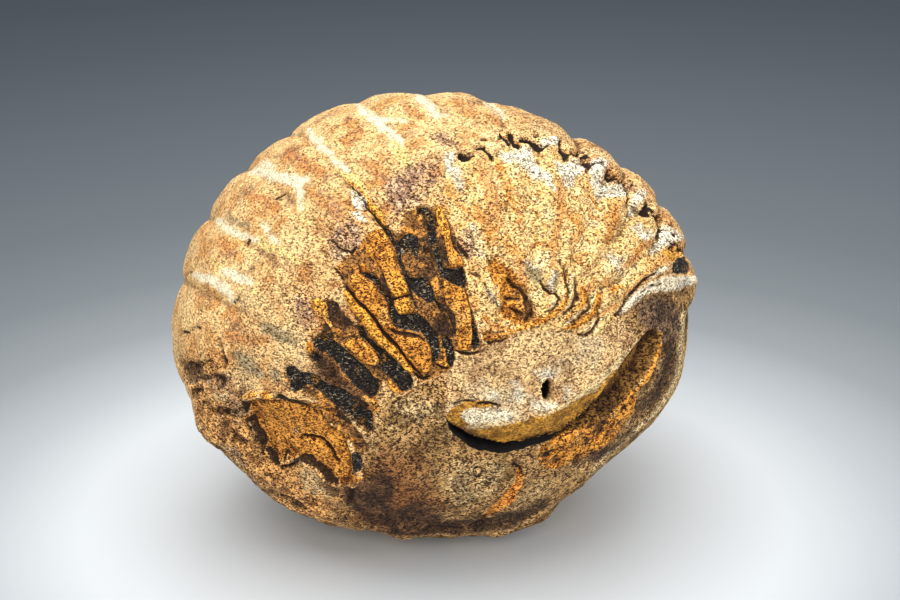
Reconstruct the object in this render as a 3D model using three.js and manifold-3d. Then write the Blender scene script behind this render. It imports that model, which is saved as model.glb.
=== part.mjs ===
// A rolled-up trilobite, turned to stone: one solid lump, lying on its head with one flank worn open.
// Millimetres, +Z up. The origin is under the middle of the lump, on the surface that it rests on.
import * as THREE from 'three';
import { mergeVertices } from 'three/addons/utils/BufferGeometryUtils.js';
import Module from 'manifold-3d';

// ---- Driving dimensions, mm and degrees ----

const HALF_DEPTH = 20.5;           // from the middle of the animal out to either flank
const FULLNESS = 2.3;              // 2 is an ellipse across the flanks, more is boxier
const CENTRE_HEIGHT = 20.7;        // middle of the lump above its resting surface
const LEAN = 16;                   // how far the worn flank tips up
const TURN = 14;                   // how far the worn flank turns to the right

// The side outline: its distance from the middle at every 15 degrees, from the tail end round over
// the back, the nape and the face.
const OUTLINE = [25.7, 25.5, 24.1, 22.4, 21.6, 21.6, 21.8, 22.4, 22.7, 23.2, 24.1, 25,
  25.5, 25.3, 23.5, 22.9, 21.5, 20.9, 20.9, 21.6, 22, 22.4, 24.2, 25.2];

// The furrows between the back's rings all fan from one line through the flanks, the hub.
const HUB = new THREE.Vector2(0, -10);
const HUB_DEPTH = 19;              // from the middle out to the flank, at the hub
const JOINTS = [22, 31, 41.8, 51.9, 62, 79.2, 90.5, 101.5, 114, 124, 135.3, 148, 172];
const COLUMNS_PER_RING = 4;
const HEAD_COLUMNS = 27;
const ROWS = 23;
const POLE_ROW = 84;               // the last row before each flank's own middle point, in degrees

const AXIS_HALF_WIDTH = 12;        // the back's middle lobe, to the furrow on either side of it
const AXIS_FURROW = { depth: 0.6, width: 1.7 };
const RING_HEIGHT = { tail: 1, back: 0.55, sound: 0.8, worn: 0.3 };
const TAIL_RINGS_END = [56, 80];   // joint angles between which the tall tail rings give way
const FAN_SIDE = 96;               // short of this joint angle the worn flank has lost its ribs
const ROUGHNESS = 0.22;

const BROW = { from: 168, to: 322, halfWidth: 8.5, height: 1.1, lobe: 24 };
const EYE = { x: -17, z: -6.5, radius: 3.4, height: 2 };
const CHEEK_GROOVE = { from: 186, to: 338, reach: 0.72, depth: 0.7 };

// The flank's marks are drawn on an upright sheet through the lump's middle, as an eye in front of
// it and a little above sees them: across to the right, then up.
const EYE_DISTANCE = 158;
const EYE_PITCH = 20;
const SHEET_SHIFT = new THREE.Vector2(1.6, 1.4);
const SWEEP = 40;

// The tail's edge is a rolled lip, bulging along an arc and standing over a crescent gap.
const LIP = { centre: new THREE.Vector2(7.8, -0.1), reach: 11, width: 2.4, height: 1, from: 232, to: 350 };
const GAP = { depth: 4.2, outline: [[1.1, -10.2], [1.5, -11.4], [2.6, -12.6], [4, -13.4], [5.7, -13.7],
  [8.1, -13.5], [9.9, -13], [11.6, -12.3], [13.8, -11.1], [15.8, -9.6], [17.6, -7.8], [19.4, -5.5],
  [18.9, -5], [17.2, -7], [15.6, -8.6], [13.5, -10.2], [11.7, -11.3], [9.6, -12], [7.1, -12.3],
  [4.6, -12], [2.8, -11.2], [1.7, -10]] };
const TROUGH = { depth: 2.4, outline: [[10.6, -11.6], [11.6, -12.5], [13.6, -11.6], [15.8, -10.4],
  [17.8, -9.2], [19.4, -7.8], [20.7, -6.1], [21.6, -4.4], [22.3, -2.3], [21.6, -1.7], [20.4, -2.8],
  [18.4, -5.6], [15.8, -8.6], [13, -10.6]] };
const BAND = { depth: 0.6, outline: [[12.4, -12.5], [14.3, -11.9], [16.4, -10.9], [18.6, -9.4],
  [20.5, -7.2], [21.9, -4.8], [22.9, -2.2], [23.3, -2.9], [22.8, -5.4], [21.8, -7.8], [20.2, -10.4],
  [18.9, -12], [17, -13.3], [14.8, -14.7], [12.6, -15.5], [10.9, -15.2], [10.6, -14.1]] };
const HOLE = { depth: 2.6, at: [11.6, -7.9], halfSize: [0.65, 1.2], corners: 8 };

const PLATE = { depth: 0.8, outline: [[-18.8, -8.8], [-17.4, -8.4], [-16, -8.6], [-14.5, -8.9],
  [-13.1, -9.4], [-11.6, -10], [-10.5, -10.6], [-9.4, -11.6], [-8.7, -12.9], [-8.2, -14.1],
  [-8.2, -15.4], [-7.1, -16.2], [-8.1, -16.8], [-9.9, -17], [-11.1, -16], [-11.6, -15],
  [-12.7, -14.4], [-13.8, -14.4], [-14.3, -14.8], [-15, -15.4], [-16.2, -14.8], [-17.4, -13.1],
  [-18.3, -11]] };
const PLATE_STEP = { depth: 1.4, width: 0.7, line: [[-12.9, -12.5], [-11.6, -12.8], [-10.6, -13.5],
  [-10.2, -14.6], [-9.2, -15.4]] };
const PLATE_PIT = { depth: 1.8, width: 0.9, line: [[-15.2, -14.5], [-14.7, -15]] };

// Flat-floored hollows where the shell is lost, and bars of it left standing between them.
const SLOTS = [
  { depth: 0.6, outline: [[-1.8, 10.2], [-0.6, 10.8], [0.1, 9.2], [0.7, 5.4], [1.4, 4.7], [3, 5], [3.2, 2.9],
    [1.7, 3.3], [0.3, 4.8], [-0.8, 9.4]] },
  { depth: 0.6, outline: [[-3.8, 6.8], [-2.4, 8.2], [-1.4, 6.9], [-1.8, 5.8]] },
  { depth: 0.6, outline: [[-3.2, 4.6], [-1.2, 3.7], [0.3, 1.6], [-1, 1.5], [-2.3, 2.6]] },
  { depth: 0.6, outline: [[-4.3, 1.5], [-3.5, 0.1], [-1.9, 0.2], [-0.2, -1.3], [0.6, -3.2], [0, -5.3],
    [-0.5, -2.8], [-1.3, -1.9], [-3.2, -1.7], [-4.4, -0.4]] },
  { depth: 0.6, outline: [[0.7, -2.3], [1.8, -2.7], [2.1, -4.8], [1.5, -5.4], [1, -3.8]] },
  { depth: 0.6, outline: [[3.8, 0], [4.3, -1.3], [4.7, -3.2], [3.8, -3.4]] },
  { depth: 0.6, outline: [[-7.8, -1.3], [-7, -1.4], [-5.4, -3.3], [-3.1, -5.3], [-2.1, -6.8], [-2.9, -7.8],
    [-4.3, -6.7], [-5.3, -4.5], [-7.4, -2.2]] },
  { depth: 0.6, outline: [[-12.1, -2.5], [-10.7, -2.2], [-8.5, -4], [-6.3, -5.9], [-5.5, -7.5], [-6.2, -8.5],
    [-8.5, -7.8], [-9.4, -6], [-10.5, -4], [-12.1, -3.4]] },
  { depth: 0.6, outline: [[-15, -5.6], [-14, -5.3], [-12.6, -6], [-10.6, -7.1], [-8.6, -7.6], [-6.7, -9.1],
    [-6, -10.8], [-6.5, -11.9], [-8.5, -10.3], [-10.7, -8.5], [-12.8, -7.1], [-14, -7.9], [-14.9, -6.4]] },
];
const BARS = [
  { height: 0.3, outline: [[-6.3, 8.1], [-4.8, 8.2], [-3.9, 5.2], [-2.5, 2.4], [-4.1, 2], [-5.5, 4.8],
    [-6.6, 7.4]] },
  { height: 0.3, outline: [[-4, 1.5], [-2.5, 1.6], [-2.1, 0.3], [-3.5, -0.1]] },
  { height: 0.3, outline: [[-8.5, 3.8], [-7.4, 4], [-4.6, 1], [-4.2, -0.8], [-3, -2], [-1.2, -2.3],
    [-0.3, -4.2], [-0.6, -6], [-3, -3.9], [-8.3, 2.4]] },
  { height: 0.3, outline: [[-9, 2.6], [-7.1, 0.5], [-3.1, -4.2], [-1.7, -6], [-3.4, -5], [-6.4, -1.9],
    [-9, 1.7]] },
  { height: 0.3, outline: [[0.3, 10.6], [1.1, 10.5], [1.9, 6.8], [3, 5], [1.7, 4.7], [0.9, 7.6]] },
  { height: 0.3, outline: [[1, 3.5], [3, 2.4], [3.8, -0.8], [3.5, -3.6], [2.3, -3.1], [2, -0.1], [0.9, 2]] },
];
const CRACKS = [
  { depth: 0.7, width: 0.45, line: [[-8.9, 12.9], [-6.9, 11.3], [-5.6, 9.4], [-4.4, 7.9], [-3.6, 5.6],
    [-2.8, 3]] },
  { depth: 0.6, width: 0.5, line: [[8.1, -15], [8.8, -15.6], [8.2, -17], [6.6, -18.9], [4.4, -20.8]] },
  { depth: 0.7, width: 0.5, line: [[18.4, 0.3], [20.4, 2.3], [22, 3.9]] },
  { depth: 0.6, width: 0.5, line: [[-19.2, -10], [-18.4, -12.4], [-17.4, -14.4], [-16.3, -15.6]] },
];

// The fan, where the outer shell has broken away, is deepest under its scalloped upper ledge.
const FAN = { depth: 0.8, hub: new THREE.Vector2(10, -4), fadeFrom: 20, fadeTo: 9, left: 90,
  outline: [[3, 15.4], [3.8, 15.7], [4.6, 16.3], [5.6, 16], [6.7, 16.8], [7.8, 17], [9.2, 17.4], [10.9, 16.7],
    [12.4, 16.2], [13.6, 15.6], [15, 15.8], [15.7, 14.6], [16.4, 13.6], [17.6, 13.8], [18.8, 13], [19.6, 12],
    [20, 11], [21.3, 10.8], [22.4, 9.8], [22.6, 8], [23.6, 6.6], [23, 4.4], [20, 1.8], [15, -2], [9, -2.5],
    [5.4, 0], [4.6, 6], [2.6, 11]] };
const PITS = { depth: 1.5, width: 0.9, at: [[[3, 15.5], [3.5, 15.9]], [[4.6, 16.4], [5.6, 16.3]],
  [[7.9, 17.2], [8.4, 17.4]], [[12.8, 15.9], [13.4, 15.7]], [[17.6, 13.8], [18.2, 13.9]],
  [[21.3, 10.6], [21.7, 10.5]], [[23.9, 5.4], [24.6, 4.6]]] };
const FAN_HOLLOW = { depth: 1.6, width: 2.2, line: [[7, 2.2], [9, 1.4], [9.4, 0.2]] };

const RUST_BROWN = 0xa8814f;

const radians = THREE.MathUtils.degToRad;
const degrees = THREE.MathUtils.radToDeg;
const near = (distance, width) => Math.exp(-((distance / width) ** 2));
const ramp = (value, from, to) => THREE.MathUtils.smoothstep(value, from, to);
const wrap = (angle) => ((angle % 360) + 360) % 360;

// ---- The lump's own form ----

// The side outline's distance from the middle at an angle, by a smooth curve through its points.
function outlineReach(angle) {
  const place = wrap(angle) / 360 * OUTLINE.length;
  const first = Math.floor(place);
  const part = place - first;
  const [a, b, c, d] = [-1, 0, 1, 2].map((step) => OUTLINE[(first + step + OUTLINE.length) % OUTLINE.length]);
  return b + 0.5 * part * (c - a + part * (2 * a - 5 * b + 4 * c - d + part * (3 * (b - c) + d - a)));
}

// Below zero inside the smooth lump, above zero outside it.
function outside(point) {
  const reach = outlineReach(degrees(Math.atan2(point.z, point.x)));
  const along = Math.hypot(point.x, point.z) / reach;
  return along ** FULLNESS + (Math.abs(point.y) / HALF_DEPTH) ** FULLNESS - 1;
}

// Where a ray from the hub line leaves the smooth lump.
function castFromHub(angle, tilt) {
  const hub = new THREE.Vector3(HUB.x, 0, HUB.y);
  const direction = new THREE.Vector3(Math.cos(tilt) * Math.cos(angle), Math.sin(tilt),
    Math.cos(tilt) * Math.sin(angle));
  let inner = 0;
  let outer = 60;
  for (let step = 0; step < 30; step += 1) {
    const middle = (inner + outer) / 2;
    if (outside(hub.clone().addScaledVector(direction, middle)) < 0) inner = middle;
    else outer = middle;
  }
  return hub.addScaledVector(direction, inner);
}

// How far each ring of the back swells out, from 0 in the furrows between rings to 1 at its crown.
function ringSwell(angle) {
  const next = JOINTS.findIndex((joint) => joint > angle);
  if (next < 1) return 0.6;
  const part = (angle - JOINTS[next - 1]) / (JOINTS[next] - JOINTS[next - 1]);
  return 1 - Math.abs(2 * part - 1) ** 3;
}

function ringLift(angle, point) {
  const onAxis = 1 - ramp(Math.abs(point.y), AXIS_HALF_WIDTH - 1, AXIS_HALF_WIDTH + 1);
  const fromHub = Math.hypot(point.x - HUB.x, point.z - HUB.y);
  const ribs = point.y > 0
    ? RING_HEIGHT.sound * ramp(fromHub, 7, 13)
    : RING_HEIGHT.worn * ramp(fromHub, 20, 25) * ramp(angle, FAN_SIDE - 8, FAN_SIDE + 8);
  const crown = THREE.MathUtils.lerp(RING_HEIGHT.tail, RING_HEIGHT.back, ramp(angle, ...TAIL_RINGS_END));
  const height = THREE.MathUtils.lerp(ribs, crown, onAxis);
  const overBack = ramp(angle, JOINTS[0] - 8, JOINTS[0])
    * (1 - ramp(angle, JOINTS.at(-1), JOINTS.at(-1) + 6));
  const furrow = AXIS_FURROW.depth * near(Math.abs(point.y) - AXIS_HALF_WIDTH, AXIS_FURROW.width);
  const soundSide = point.y > 0 ? 1 : ramp(angle, FAN_SIDE - 20, FAN_SIDE);
  return overBack * (height * (ringSwell(angle) - 0.6) - furrow * soundSide);
}

function headLift(angle, point) {
  const alongBrow = ramp(angle, BROW.from, BROW.from + 8) * (1 - ramp(angle, BROW.to - 14, BROW.to));
  const acrossBrow = 1 - ramp(Math.abs(point.y), BROW.halfWidth - 1.6, BROW.halfWidth + 1.6);
  const lobes = 0.75 + 0.25 * Math.cos(radians((angle - BROW.from) * 360 / BROW.lobe));
  const brow = BROW.height * alongBrow * acrossBrow * lobes;

  const fromEye = Math.hypot(point.x - EYE.x, point.z - EYE.z);
  const eye = point.y > 0 ? EYE.height * near(fromEye, EYE.radius) : 0;

  const reach = Math.hypot(point.x, point.z) / outlineReach(degrees(Math.atan2(point.z, point.x)));
  const alongCheek = ramp(angle, CHEEK_GROOVE.from, CHEEK_GROOVE.from + 12)
    * (1 - ramp(angle, CHEEK_GROOVE.to - 12, CHEEK_GROOVE.to));
  const groove = point.y > 0 ? CHEEK_GROOVE.depth * alongCheek * near(reach - CHEEK_GROOVE.reach, 0.07) : 0;
  return brow + eye - groove;
}

function lipLift(seen) {
  const spoke = seen.clone().sub(LIP.centre);
  const angle = degrees(spoke.angle());
  const along = ramp(angle, LIP.from - 8, LIP.from + 8) * (1 - ramp(angle, LIP.to - 12, LIP.to + 4));
  return LIP.height * along * near(spoke.length() - LIP.reach, LIP.width);
}

// Weathered unevenness, as a few crossed waves, and more of it on the chipped edge at lower left.
function weathering(point) {
  const wave = (x, y, z, start) => Math.sin(point.x * x + point.y * y + point.z * z + start);
  const long = wave(0.43, 0.21, -0.35, 0.6) + wave(-0.28, 0.5, 0.31, 2.1) + wave(0.1, -0.38, 0.56, 4.4);
  const short = wave(1.3, 0.7, -0.9, 1.2) + wave(-0.8, 1.4, 1.1, 5) + wave(0.9, -1.2, 1.5, 3.3);
  const chipped = 1 + 2.2 * near(Math.hypot(point.x + 21, point.z + 9, point.y + 8), 7);
  return ROUGHNESS * (0.5 * long + 0.35 * short * chipped);
}

// ---- From the animal's frame to the resting pose ----

const POSE = new THREE.Matrix4().makeTranslation(0, 0, CENTRE_HEIGHT)
  .multiply(new THREE.Matrix4().makeRotationZ(radians(TURN)))
  .multiply(new THREE.Matrix4().makeRotationX(radians(-LEAN)));

// Through the animal's own middle plane, in the resting pose.
const MIRROR = POSE.clone().multiply(new THREE.Matrix4().makeScale(1, -1, 1)).multiply(POSE.clone().invert());

const sheetMiddle = new THREE.Vector3(0, 0, CENTRE_HEIGHT);
const ahead = new THREE.Vector3(0, Math.cos(radians(EYE_PITCH)), -Math.sin(radians(EYE_PITCH)));
const across = new THREE.Vector3(1, 0, 0);
const upward = new THREE.Vector3().crossVectors(across, ahead);
const SHEET = new THREE.Matrix4().makeBasis(across, upward, ahead.clone().negate())
  .setPosition(sheetMiddle.addScaledVector(across, SHEET_SHIFT.x).addScaledVector(upward, SHEET_SHIFT.y));

// Where a point of the resting lump is seen on the sheet.
function onSheet(point) {
  const local = point.clone().applyMatrix4(SHEET.clone().invert());
  const scale = EYE_DISTANCE / (EYE_DISTANCE - local.z);
  return new THREE.Vector2(local.x * scale, local.y * scale).add(SHEET_SHIFT);
}

// ---- Solids ----

const wasm = await Module();
wasm.setup();

function toSolid(geometry, insideOut = false) {
  geometry.deleteAttribute('normal');
  geometry.deleteAttribute('uv');
  const merged = mergeVertices(geometry, 1e-4);
  const vertProperties = Float32Array.from(merged.attributes.position.array);
  const triVerts = Uint32Array.from(merged.index.array);
  if (insideOut) triVerts.reverse();
  return new wasm.Manifold(new wasm.Mesh({ numProp: 3, vertProperties, triVerts }));
}

function columnAngles() {
  const angles = [];
  for (let ring = 1; ring < JOINTS.length; ring += 1) {
    for (let step = 0; step < COLUMNS_PER_RING; step += 1) {
      angles.push(THREE.MathUtils.lerp(JOINTS[ring - 1], JOINTS[ring], step / COLUMNS_PER_RING));
    }
  }
  const head = JOINTS[0] + 360 - JOINTS.at(-1);
  for (let step = 0; step < HEAD_COLUMNS; step += 1) {
    angles.push(JOINTS.at(-1) + head * step / HEAD_COLUMNS);
  }
  return angles;
}

// The lump's skin, sunk or raised everywhere by what lift says of a point's place on the sheet.
function lumpSolid(lift) {
  const angles = columnAngles();
  const positions = [];
  const place = (angle, tilt) => {
    const point = castFromHub(radians(angle), tilt);
    const turned = wrap(angle);
    const relief = ringLift(turned, point) + headLift(turned, point) + weathering(point);
    const nearSide = point.clone().setY(-Math.abs(point.y));
    const seen = onSheet(nearSide.applyMatrix4(POSE));
    point.setLength(point.length() + relief + lipLift(seen) + lift(seen));
    positions.push(...point.applyMatrix4(POSE).toArray());
  };
  place(0, -Math.PI / 2);
  for (let row = 0; row < ROWS; row += 1) {
    const across = radians(-POLE_ROW + 2 * POLE_ROW * row / (ROWS - 1));
    for (const angle of angles) {
      const crest = castFromHub(radians(angle), 0);
      const reach = Math.hypot(crest.x - HUB.x, crest.z - HUB.y);
      place(angle, Math.atan2(HUB_DEPTH * Math.sin(across), reach * Math.cos(across)));
    }
  }
  place(0, Math.PI / 2);

  const count = angles.length;
  const last = 1 + ROWS * count;
  const vertex = (row, column) => 1 + row * count + column % count;
  const triangles = [];
  for (let column = 0; column < count; column += 1) {
    triangles.push(0, vertex(0, column), vertex(0, column + 1));
    triangles.push(last, vertex(ROWS - 1, column + 1), vertex(ROWS - 1, column));
    for (let row = 1; row < ROWS; row += 1) {
      const [a, b] = [vertex(row - 1, column), vertex(row - 1, column + 1)];
      const [c, d] = [vertex(row, column), vertex(row, column + 1)];
      triangles.push(a, c, d, a, d, b);
    }
  }
  const geometry = new THREE.BufferGeometry();
  geometry.setAttribute('position', new THREE.Float32BufferAttribute(positions, 3));
  geometry.setIndex(triangles);
  return toSolid(geometry);
}

// A drawn outline swept back from the eye through the sheet, as a spreading prism. On the far flank
// it is mirrored through the animal's middle plane.
function sweptOutline(points, onFarFlank = false) {
  const shape = new THREE.Shape(points.map(([x, y]) => new THREE.Vector2(x, y).sub(SHEET_SHIFT)));
  const geometry = new THREE.ExtrudeGeometry(shape, { depth: SWEEP, steps: 1, bevelEnabled: false });
  const corners = geometry.attributes.position;
  for (let index = 0; index < corners.count; index += 1) {
    const scale = (EYE_DISTANCE - corners.getZ(index)) / EYE_DISTANCE;
    corners.setXY(index, corners.getX(index) * scale, corners.getY(index) * scale);
  }
  geometry.applyMatrix4(SHEET);
  if (onFarFlank) geometry.applyMatrix4(MIRROR);
  return toSolid(geometry, onFarFlank);
}

// The outline of a brush stroke: a line given a width, with blunt round ends.
function strokeOutline({ line, width }) {
  const path = new THREE.SplineCurve(line.map(([x, y]) => new THREE.Vector2(x, y)));
  const steps = Math.max(2, Math.round(path.getLength() / 2));
  const left = [];
  const right = [];
  for (let step = 0; step <= steps; step += 1) {
    const middle = path.getPointAt(step / steps);
    const heading = path.getTangentAt(step / steps);
    const half = width / 2 * (step === 0 || step === steps ? 0.6 : 1);
    left.push([middle.x - heading.y * half, middle.y + heading.x * half]);
    right.unshift([middle.x + heading.y * half, middle.y - heading.x * half]);
  }
  const [start, finish] = [path.getPointAt(0), path.getPointAt(1)];
  const [first, final] = [path.getTangentAt(0), path.getTangentAt(1)];
  return [[start.x - first.x * width / 3, start.y - first.y * width / 3], ...left,
    [finish.x + final.x * width / 3, finish.y + final.y * width / 3], ...right];
}

const lump = lumpSolid(() => 0);
const floors = new Map();

function floorAt(lift) {
  if (!floors.has(lift)) floors.set(lift, lumpSolid(() => lift));
  return floors.get(lift);
}

// A hollow of even depth under a drawn outline.
function hollow(outline, depth, onFarFlank = false) {
  return sweptOutline(outline, onFarFlank).subtract(floorAt(-depth));
}

// A bar of even height under a drawn outline.
function bar(outline, height) {
  return sweptOutline(outline).intersect(floorAt(height));
}

function holeOutline() {
  return Array.from({ length: HOLE.corners }, (_, corner) => {
    const turn = 2 * Math.PI * corner / HOLE.corners;
    return [HOLE.at[0] + HOLE.halfSize[0] * Math.cos(turn), HOLE.at[1] + HOLE.halfSize[1] * Math.sin(turn)];
  });
}

// The fan's floor: lowest at the ledge, and level with the skin towards the lip and the left edge.
function fanLift(seen) {
  const spoke = seen.clone().sub(FAN.hub);
  const outward = ramp(spoke.length(), FAN.fadeTo, FAN.fadeFrom);
  const rightward = 1 - ramp(degrees(spoke.angle()), FAN.left, FAN.left + 24);
  return 0.3 - (FAN.depth + 0.3) * outward * (0.35 + 0.65 * rightward);
}

function carved() {
  const cuts = [
    sweptOutline(FAN.outline).subtract(lumpSolid(fanLift)),
    ...[TROUGH, BAND, GAP, PLATE, ...SLOTS].map(({ outline, depth }) => hollow(outline, depth)),
    ...[TROUGH, GAP].map(({ outline, depth }) => hollow(outline, depth, true)),
    hollow(holeOutline(), HOLE.depth),
    ...[PLATE_STEP, PLATE_PIT, FAN_HOLLOW, ...CRACKS].map((mark) => hollow(strokeOutline(mark), mark.depth)),
    ...PITS.at.map((line) => hollow(strokeOutline({ line, width: PITS.width }), PITS.depth)),
  ];
  let solid = lump;
  for (const { outline, height } of BARS) solid = solid.add(bar(outline, height));
  for (const cut of cuts) solid = solid.subtract(cut);
  return solid;
}

// The face is worn flat where the lump rests: everything under z = 0 is taken off.
function restingFlat() {
  const size = 80;
  return toSolid(new THREE.BoxGeometry(size, size, size).translate(0, 0, -size / 2));
}

function trilobiteMesh() {
  const { vertProperties, triVerts, numProp } = carved().subtract(restingFlat()).getMesh();
  const geometry = new THREE.BufferGeometry();
  const positions = [];
  for (let index = 0; index < vertProperties.length; index += numProp) {
    positions.push(...vertProperties.slice(index, index + 3));
  }
  geometry.setAttribute('position', new THREE.Float32BufferAttribute(positions, 3));
  geometry.setIndex(Array.from(triVerts));
  geometry.computeVertexNormals();
  const material = new THREE.MeshStandardMaterial({ color: RUST_BROWN, roughness: 0.85, metalness: 0 });
  const mesh = new THREE.Mesh(geometry, material);
  mesh.name = 'trilobite';
  return mesh;
}

const fossil = new THREE.Group();
fossil.add(trilobiteMesh());

export default fossil;
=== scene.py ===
import math
from itertools import product

import bmesh
import bpy
import numpy as np
from mathutils import Matrix, Vector


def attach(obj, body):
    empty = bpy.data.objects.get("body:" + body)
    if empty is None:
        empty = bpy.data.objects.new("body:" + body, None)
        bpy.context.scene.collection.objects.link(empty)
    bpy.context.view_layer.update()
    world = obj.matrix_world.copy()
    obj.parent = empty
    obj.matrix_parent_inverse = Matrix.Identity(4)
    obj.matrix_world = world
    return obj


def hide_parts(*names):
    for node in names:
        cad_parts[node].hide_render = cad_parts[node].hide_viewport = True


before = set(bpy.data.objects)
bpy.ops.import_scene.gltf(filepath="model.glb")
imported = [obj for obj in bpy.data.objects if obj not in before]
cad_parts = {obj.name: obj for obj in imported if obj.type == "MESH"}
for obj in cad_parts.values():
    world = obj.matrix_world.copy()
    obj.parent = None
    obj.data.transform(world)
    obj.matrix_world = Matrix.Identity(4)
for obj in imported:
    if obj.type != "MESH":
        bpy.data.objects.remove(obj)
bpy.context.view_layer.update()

# ---- The eye ----
# The stone is looked at from in front of its worn flank, a hand's length away and a little above.
# The flank's marks are drawn on a sheet through the lump's middle that faces this eye, in
# millimetres to the right and then up.
MM = 0.001
MIDDLE_HEIGHT = 20.7
EYE_DISTANCE = 158
EYE_PITCH = math.radians(20)
EYE_OFF_MIDDLE = (1.6, 1.4)
LENS = 63.2
SENSOR = 36

across = np.array([1, 0, 0])
ahead = np.array([0, math.cos(EYE_PITCH), -math.sin(EYE_PITCH)])
upward = np.cross(across, ahead)
middle = np.array([0, 0, MIDDLE_HEIGHT])
aim = middle + EYE_OFF_MIDDLE[0] * across + EYE_OFF_MIDDLE[1] * upward
eye = aim - EYE_DISTANCE * ahead

lens = bpy.data.cameras.new("eye")
lens.lens = LENS
lens.sensor_width = SENSOR
lens.clip_start = 0.01
lens.clip_end = 20
camera = bpy.data.objects.new("eye", lens)
bpy.context.scene.collection.objects.link(camera)
aimed = Matrix(np.array([across, upward, -ahead]).T).to_4x4()
camera.matrix_world = Matrix.Translation(Vector(eye * MM)) @ aimed
bpy.context.scene.camera = camera


def drawn(points):
    """Where points, in mm, are seen on the sheet."""
    from_eye = points - eye
    scale = EYE_DISTANCE / (from_eye @ ahead)
    right, up = from_eye @ across * scale, from_eye @ upward * scale
    return EYE_OFF_MIDDLE[0] + right, EYE_OFF_MIDDLE[1] + up


# ---- Table and light ----
# A pale matt table painted with a pool of light: bright round the stone, where it lightens the
# stone's shadow, and falling away to blue-grey. A large soft lamp is overhead, with weaker ones in front,
# at the right and behind.
TABLE_SIZE = 4
TABLE_FADE = 0.32
# Painted light: the table's tone by distance from the stone, brightest close round it.
TABLE_LIGHT_POOL_TONES = [
    (0.036, (0.7, 0.735, 0.75)), (0.047, (0.48, 0.51, 0.53)), (0.061, (0.3, 0.322, 0.336)),
    (0.080, (0.2, 0.222, 0.235)), (0.106, (0.147, 0.168, 0.18)), (0.140, (0.12, 0.139, 0.156)),
    (0.185, (0.096, 0.114, 0.13)), (0.247, (0.072, 0.089, 0.106)), (0.320, (0.058, 0.073, 0.092)),
]
LAMPS = [
    ("over", (-0.05, -0.05, 0.34), 0.34, 1.0),
    ("front", (-0.06, -0.34, 0.16), 0.22, 0.6),
    ("right", (0.34, -0.14, 0.16), 0.24, 0.34),
    ("behind", (0.05, 0.30, 0.26), 0.26, 0.3),
]

table_sheet = bmesh.new()
bmesh.ops.create_grid(table_sheet, x_segments=8, y_segments=8, size=TABLE_SIZE / 2)
table_mesh = bpy.data.meshes.new("table")
table_sheet.to_mesh(table_mesh)
table_sheet.free()
table = bpy.data.objects.new("table", table_mesh)
bpy.context.scene.collection.objects.link(table)

table_paint = bpy.data.materials.new("table_painted_light_pool")
table_paint.use_nodes = True
paint = table_paint.node_tree
place = paint.nodes.new("ShaderNodeTexCoord")
far = paint.nodes.new("ShaderNodeVectorMath")
far.operation = "LENGTH"
share = paint.nodes.new("ShaderNodeMath")
share.operation = "DIVIDE"
share.inputs[1].default_value = TABLE_FADE
# The painted pool of light, as a ramp over the distance from the middle.
painted_light_pool = paint.nodes.new("ShaderNodeValToRGB")
for stop, (reach, tone) in enumerate(TABLE_LIGHT_POOL_TONES):
    if stop > 1:
        painted_light_pool.color_ramp.elements.new(reach / TABLE_FADE)
    painted_light_pool.color_ramp.elements[stop].position = reach / TABLE_FADE
    painted_light_pool.color_ramp.elements[stop].color = tone + (1,)
paint.links.new(place.outputs["Object"], far.inputs[0])
paint.links.new(far.outputs["Value"], share.inputs[0])
paint.links.new(share.outputs[0], painted_light_pool.inputs["Fac"])
paint.links.new(painted_light_pool.outputs["Color"], paint.nodes["Principled BSDF"].inputs["Base Color"])
paint.nodes["Principled BSDF"].inputs["Roughness"].default_value = 0.6
paint.nodes["Principled BSDF"].inputs["Specular IOR Level"].default_value = 0.2
table_mesh.materials.append(table_paint)

for name, spot, size, power in LAMPS:
    lamp = bpy.data.lights.new(name, "AREA")
    lamp.energy = power
    lamp.size = size
    holder = bpy.data.objects.new(name, lamp)
    bpy.context.scene.collection.objects.link(holder)
    holder.location = spot
    holder.rotation_euler = (Vector(middle * MM) - Vector(spot)).to_track_quat("-Z", "Y").to_euler()

sky = bpy.data.worlds.new("soft_room")
sky.use_nodes = True
sky.node_tree.nodes["Background"].inputs["Color"].default_value = (0.92, 0.95, 1, 1)
sky.node_tree.nodes["Background"].inputs["Strength"].default_value = 0.42
bpy.context.scene.world = sky
bpy.context.scene.view_settings.view_transform = "Standard"

# ---- The lump ----
# A trilobite that rolled itself up, tail under head, and was turned to stone: one solid lump, a
# little longer than high. It starts as a finely divided box, whose points are sent out to the
# skin, closer together on the near side.
HALF_DEPTH = 20.5
FULLNESS = 2.3
LEAN = math.radians(16)
TURN = math.radians(14)
OUTLINE = [25.7, 25.5, 24.1, 22.4, 21.6, 21.6, 21.8, 22.4, 22.7, 23.2, 24.1, 25,
           25.5, 25.3, 23.5, 22.9, 21.5, 20.9, 20.9, 21.6, 22, 22.4, 24.2, 25.2]
HEART = np.array([0, -6, -1])
CROWDING = 0.42
CUTS = 127
HALVINGS = 28
WELL_OUTSIDE = 60.0
SLOPE_STEP = 0.05
SCATTER = np.array([127.1, 311.7, 74.7])
SCATTER_GAIN = 43758.5453
SEED_SHIFT = 7.31


def ramp(value, low, high):
    """0 below low and 1 above high, easing between them."""
    part = np.clip((value - low) / (high - low), 0, 1)
    return part * part * (3 - 2 * part)


def near(distance, width):
    """1 at no distance, falling away over a width."""
    return np.exp(-(distance / width) ** 2)


def outline_reach(angle):
    """The side outline's distance from the middle, by a smooth curve through its points."""
    place = np.mod(angle, 360) / 360 * len(OUTLINE)
    first = np.floor(place).astype(int)
    part = place - first
    a, b, c, d = (np.take(OUTLINE, first + step, mode="wrap") for step in (-1, 0, 1, 2))
    return b + 0.5 * part * (c - a + part * (2 * a - 5 * b + 4 * c - d + part * (3 * (b - c) + d - a)))


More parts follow.
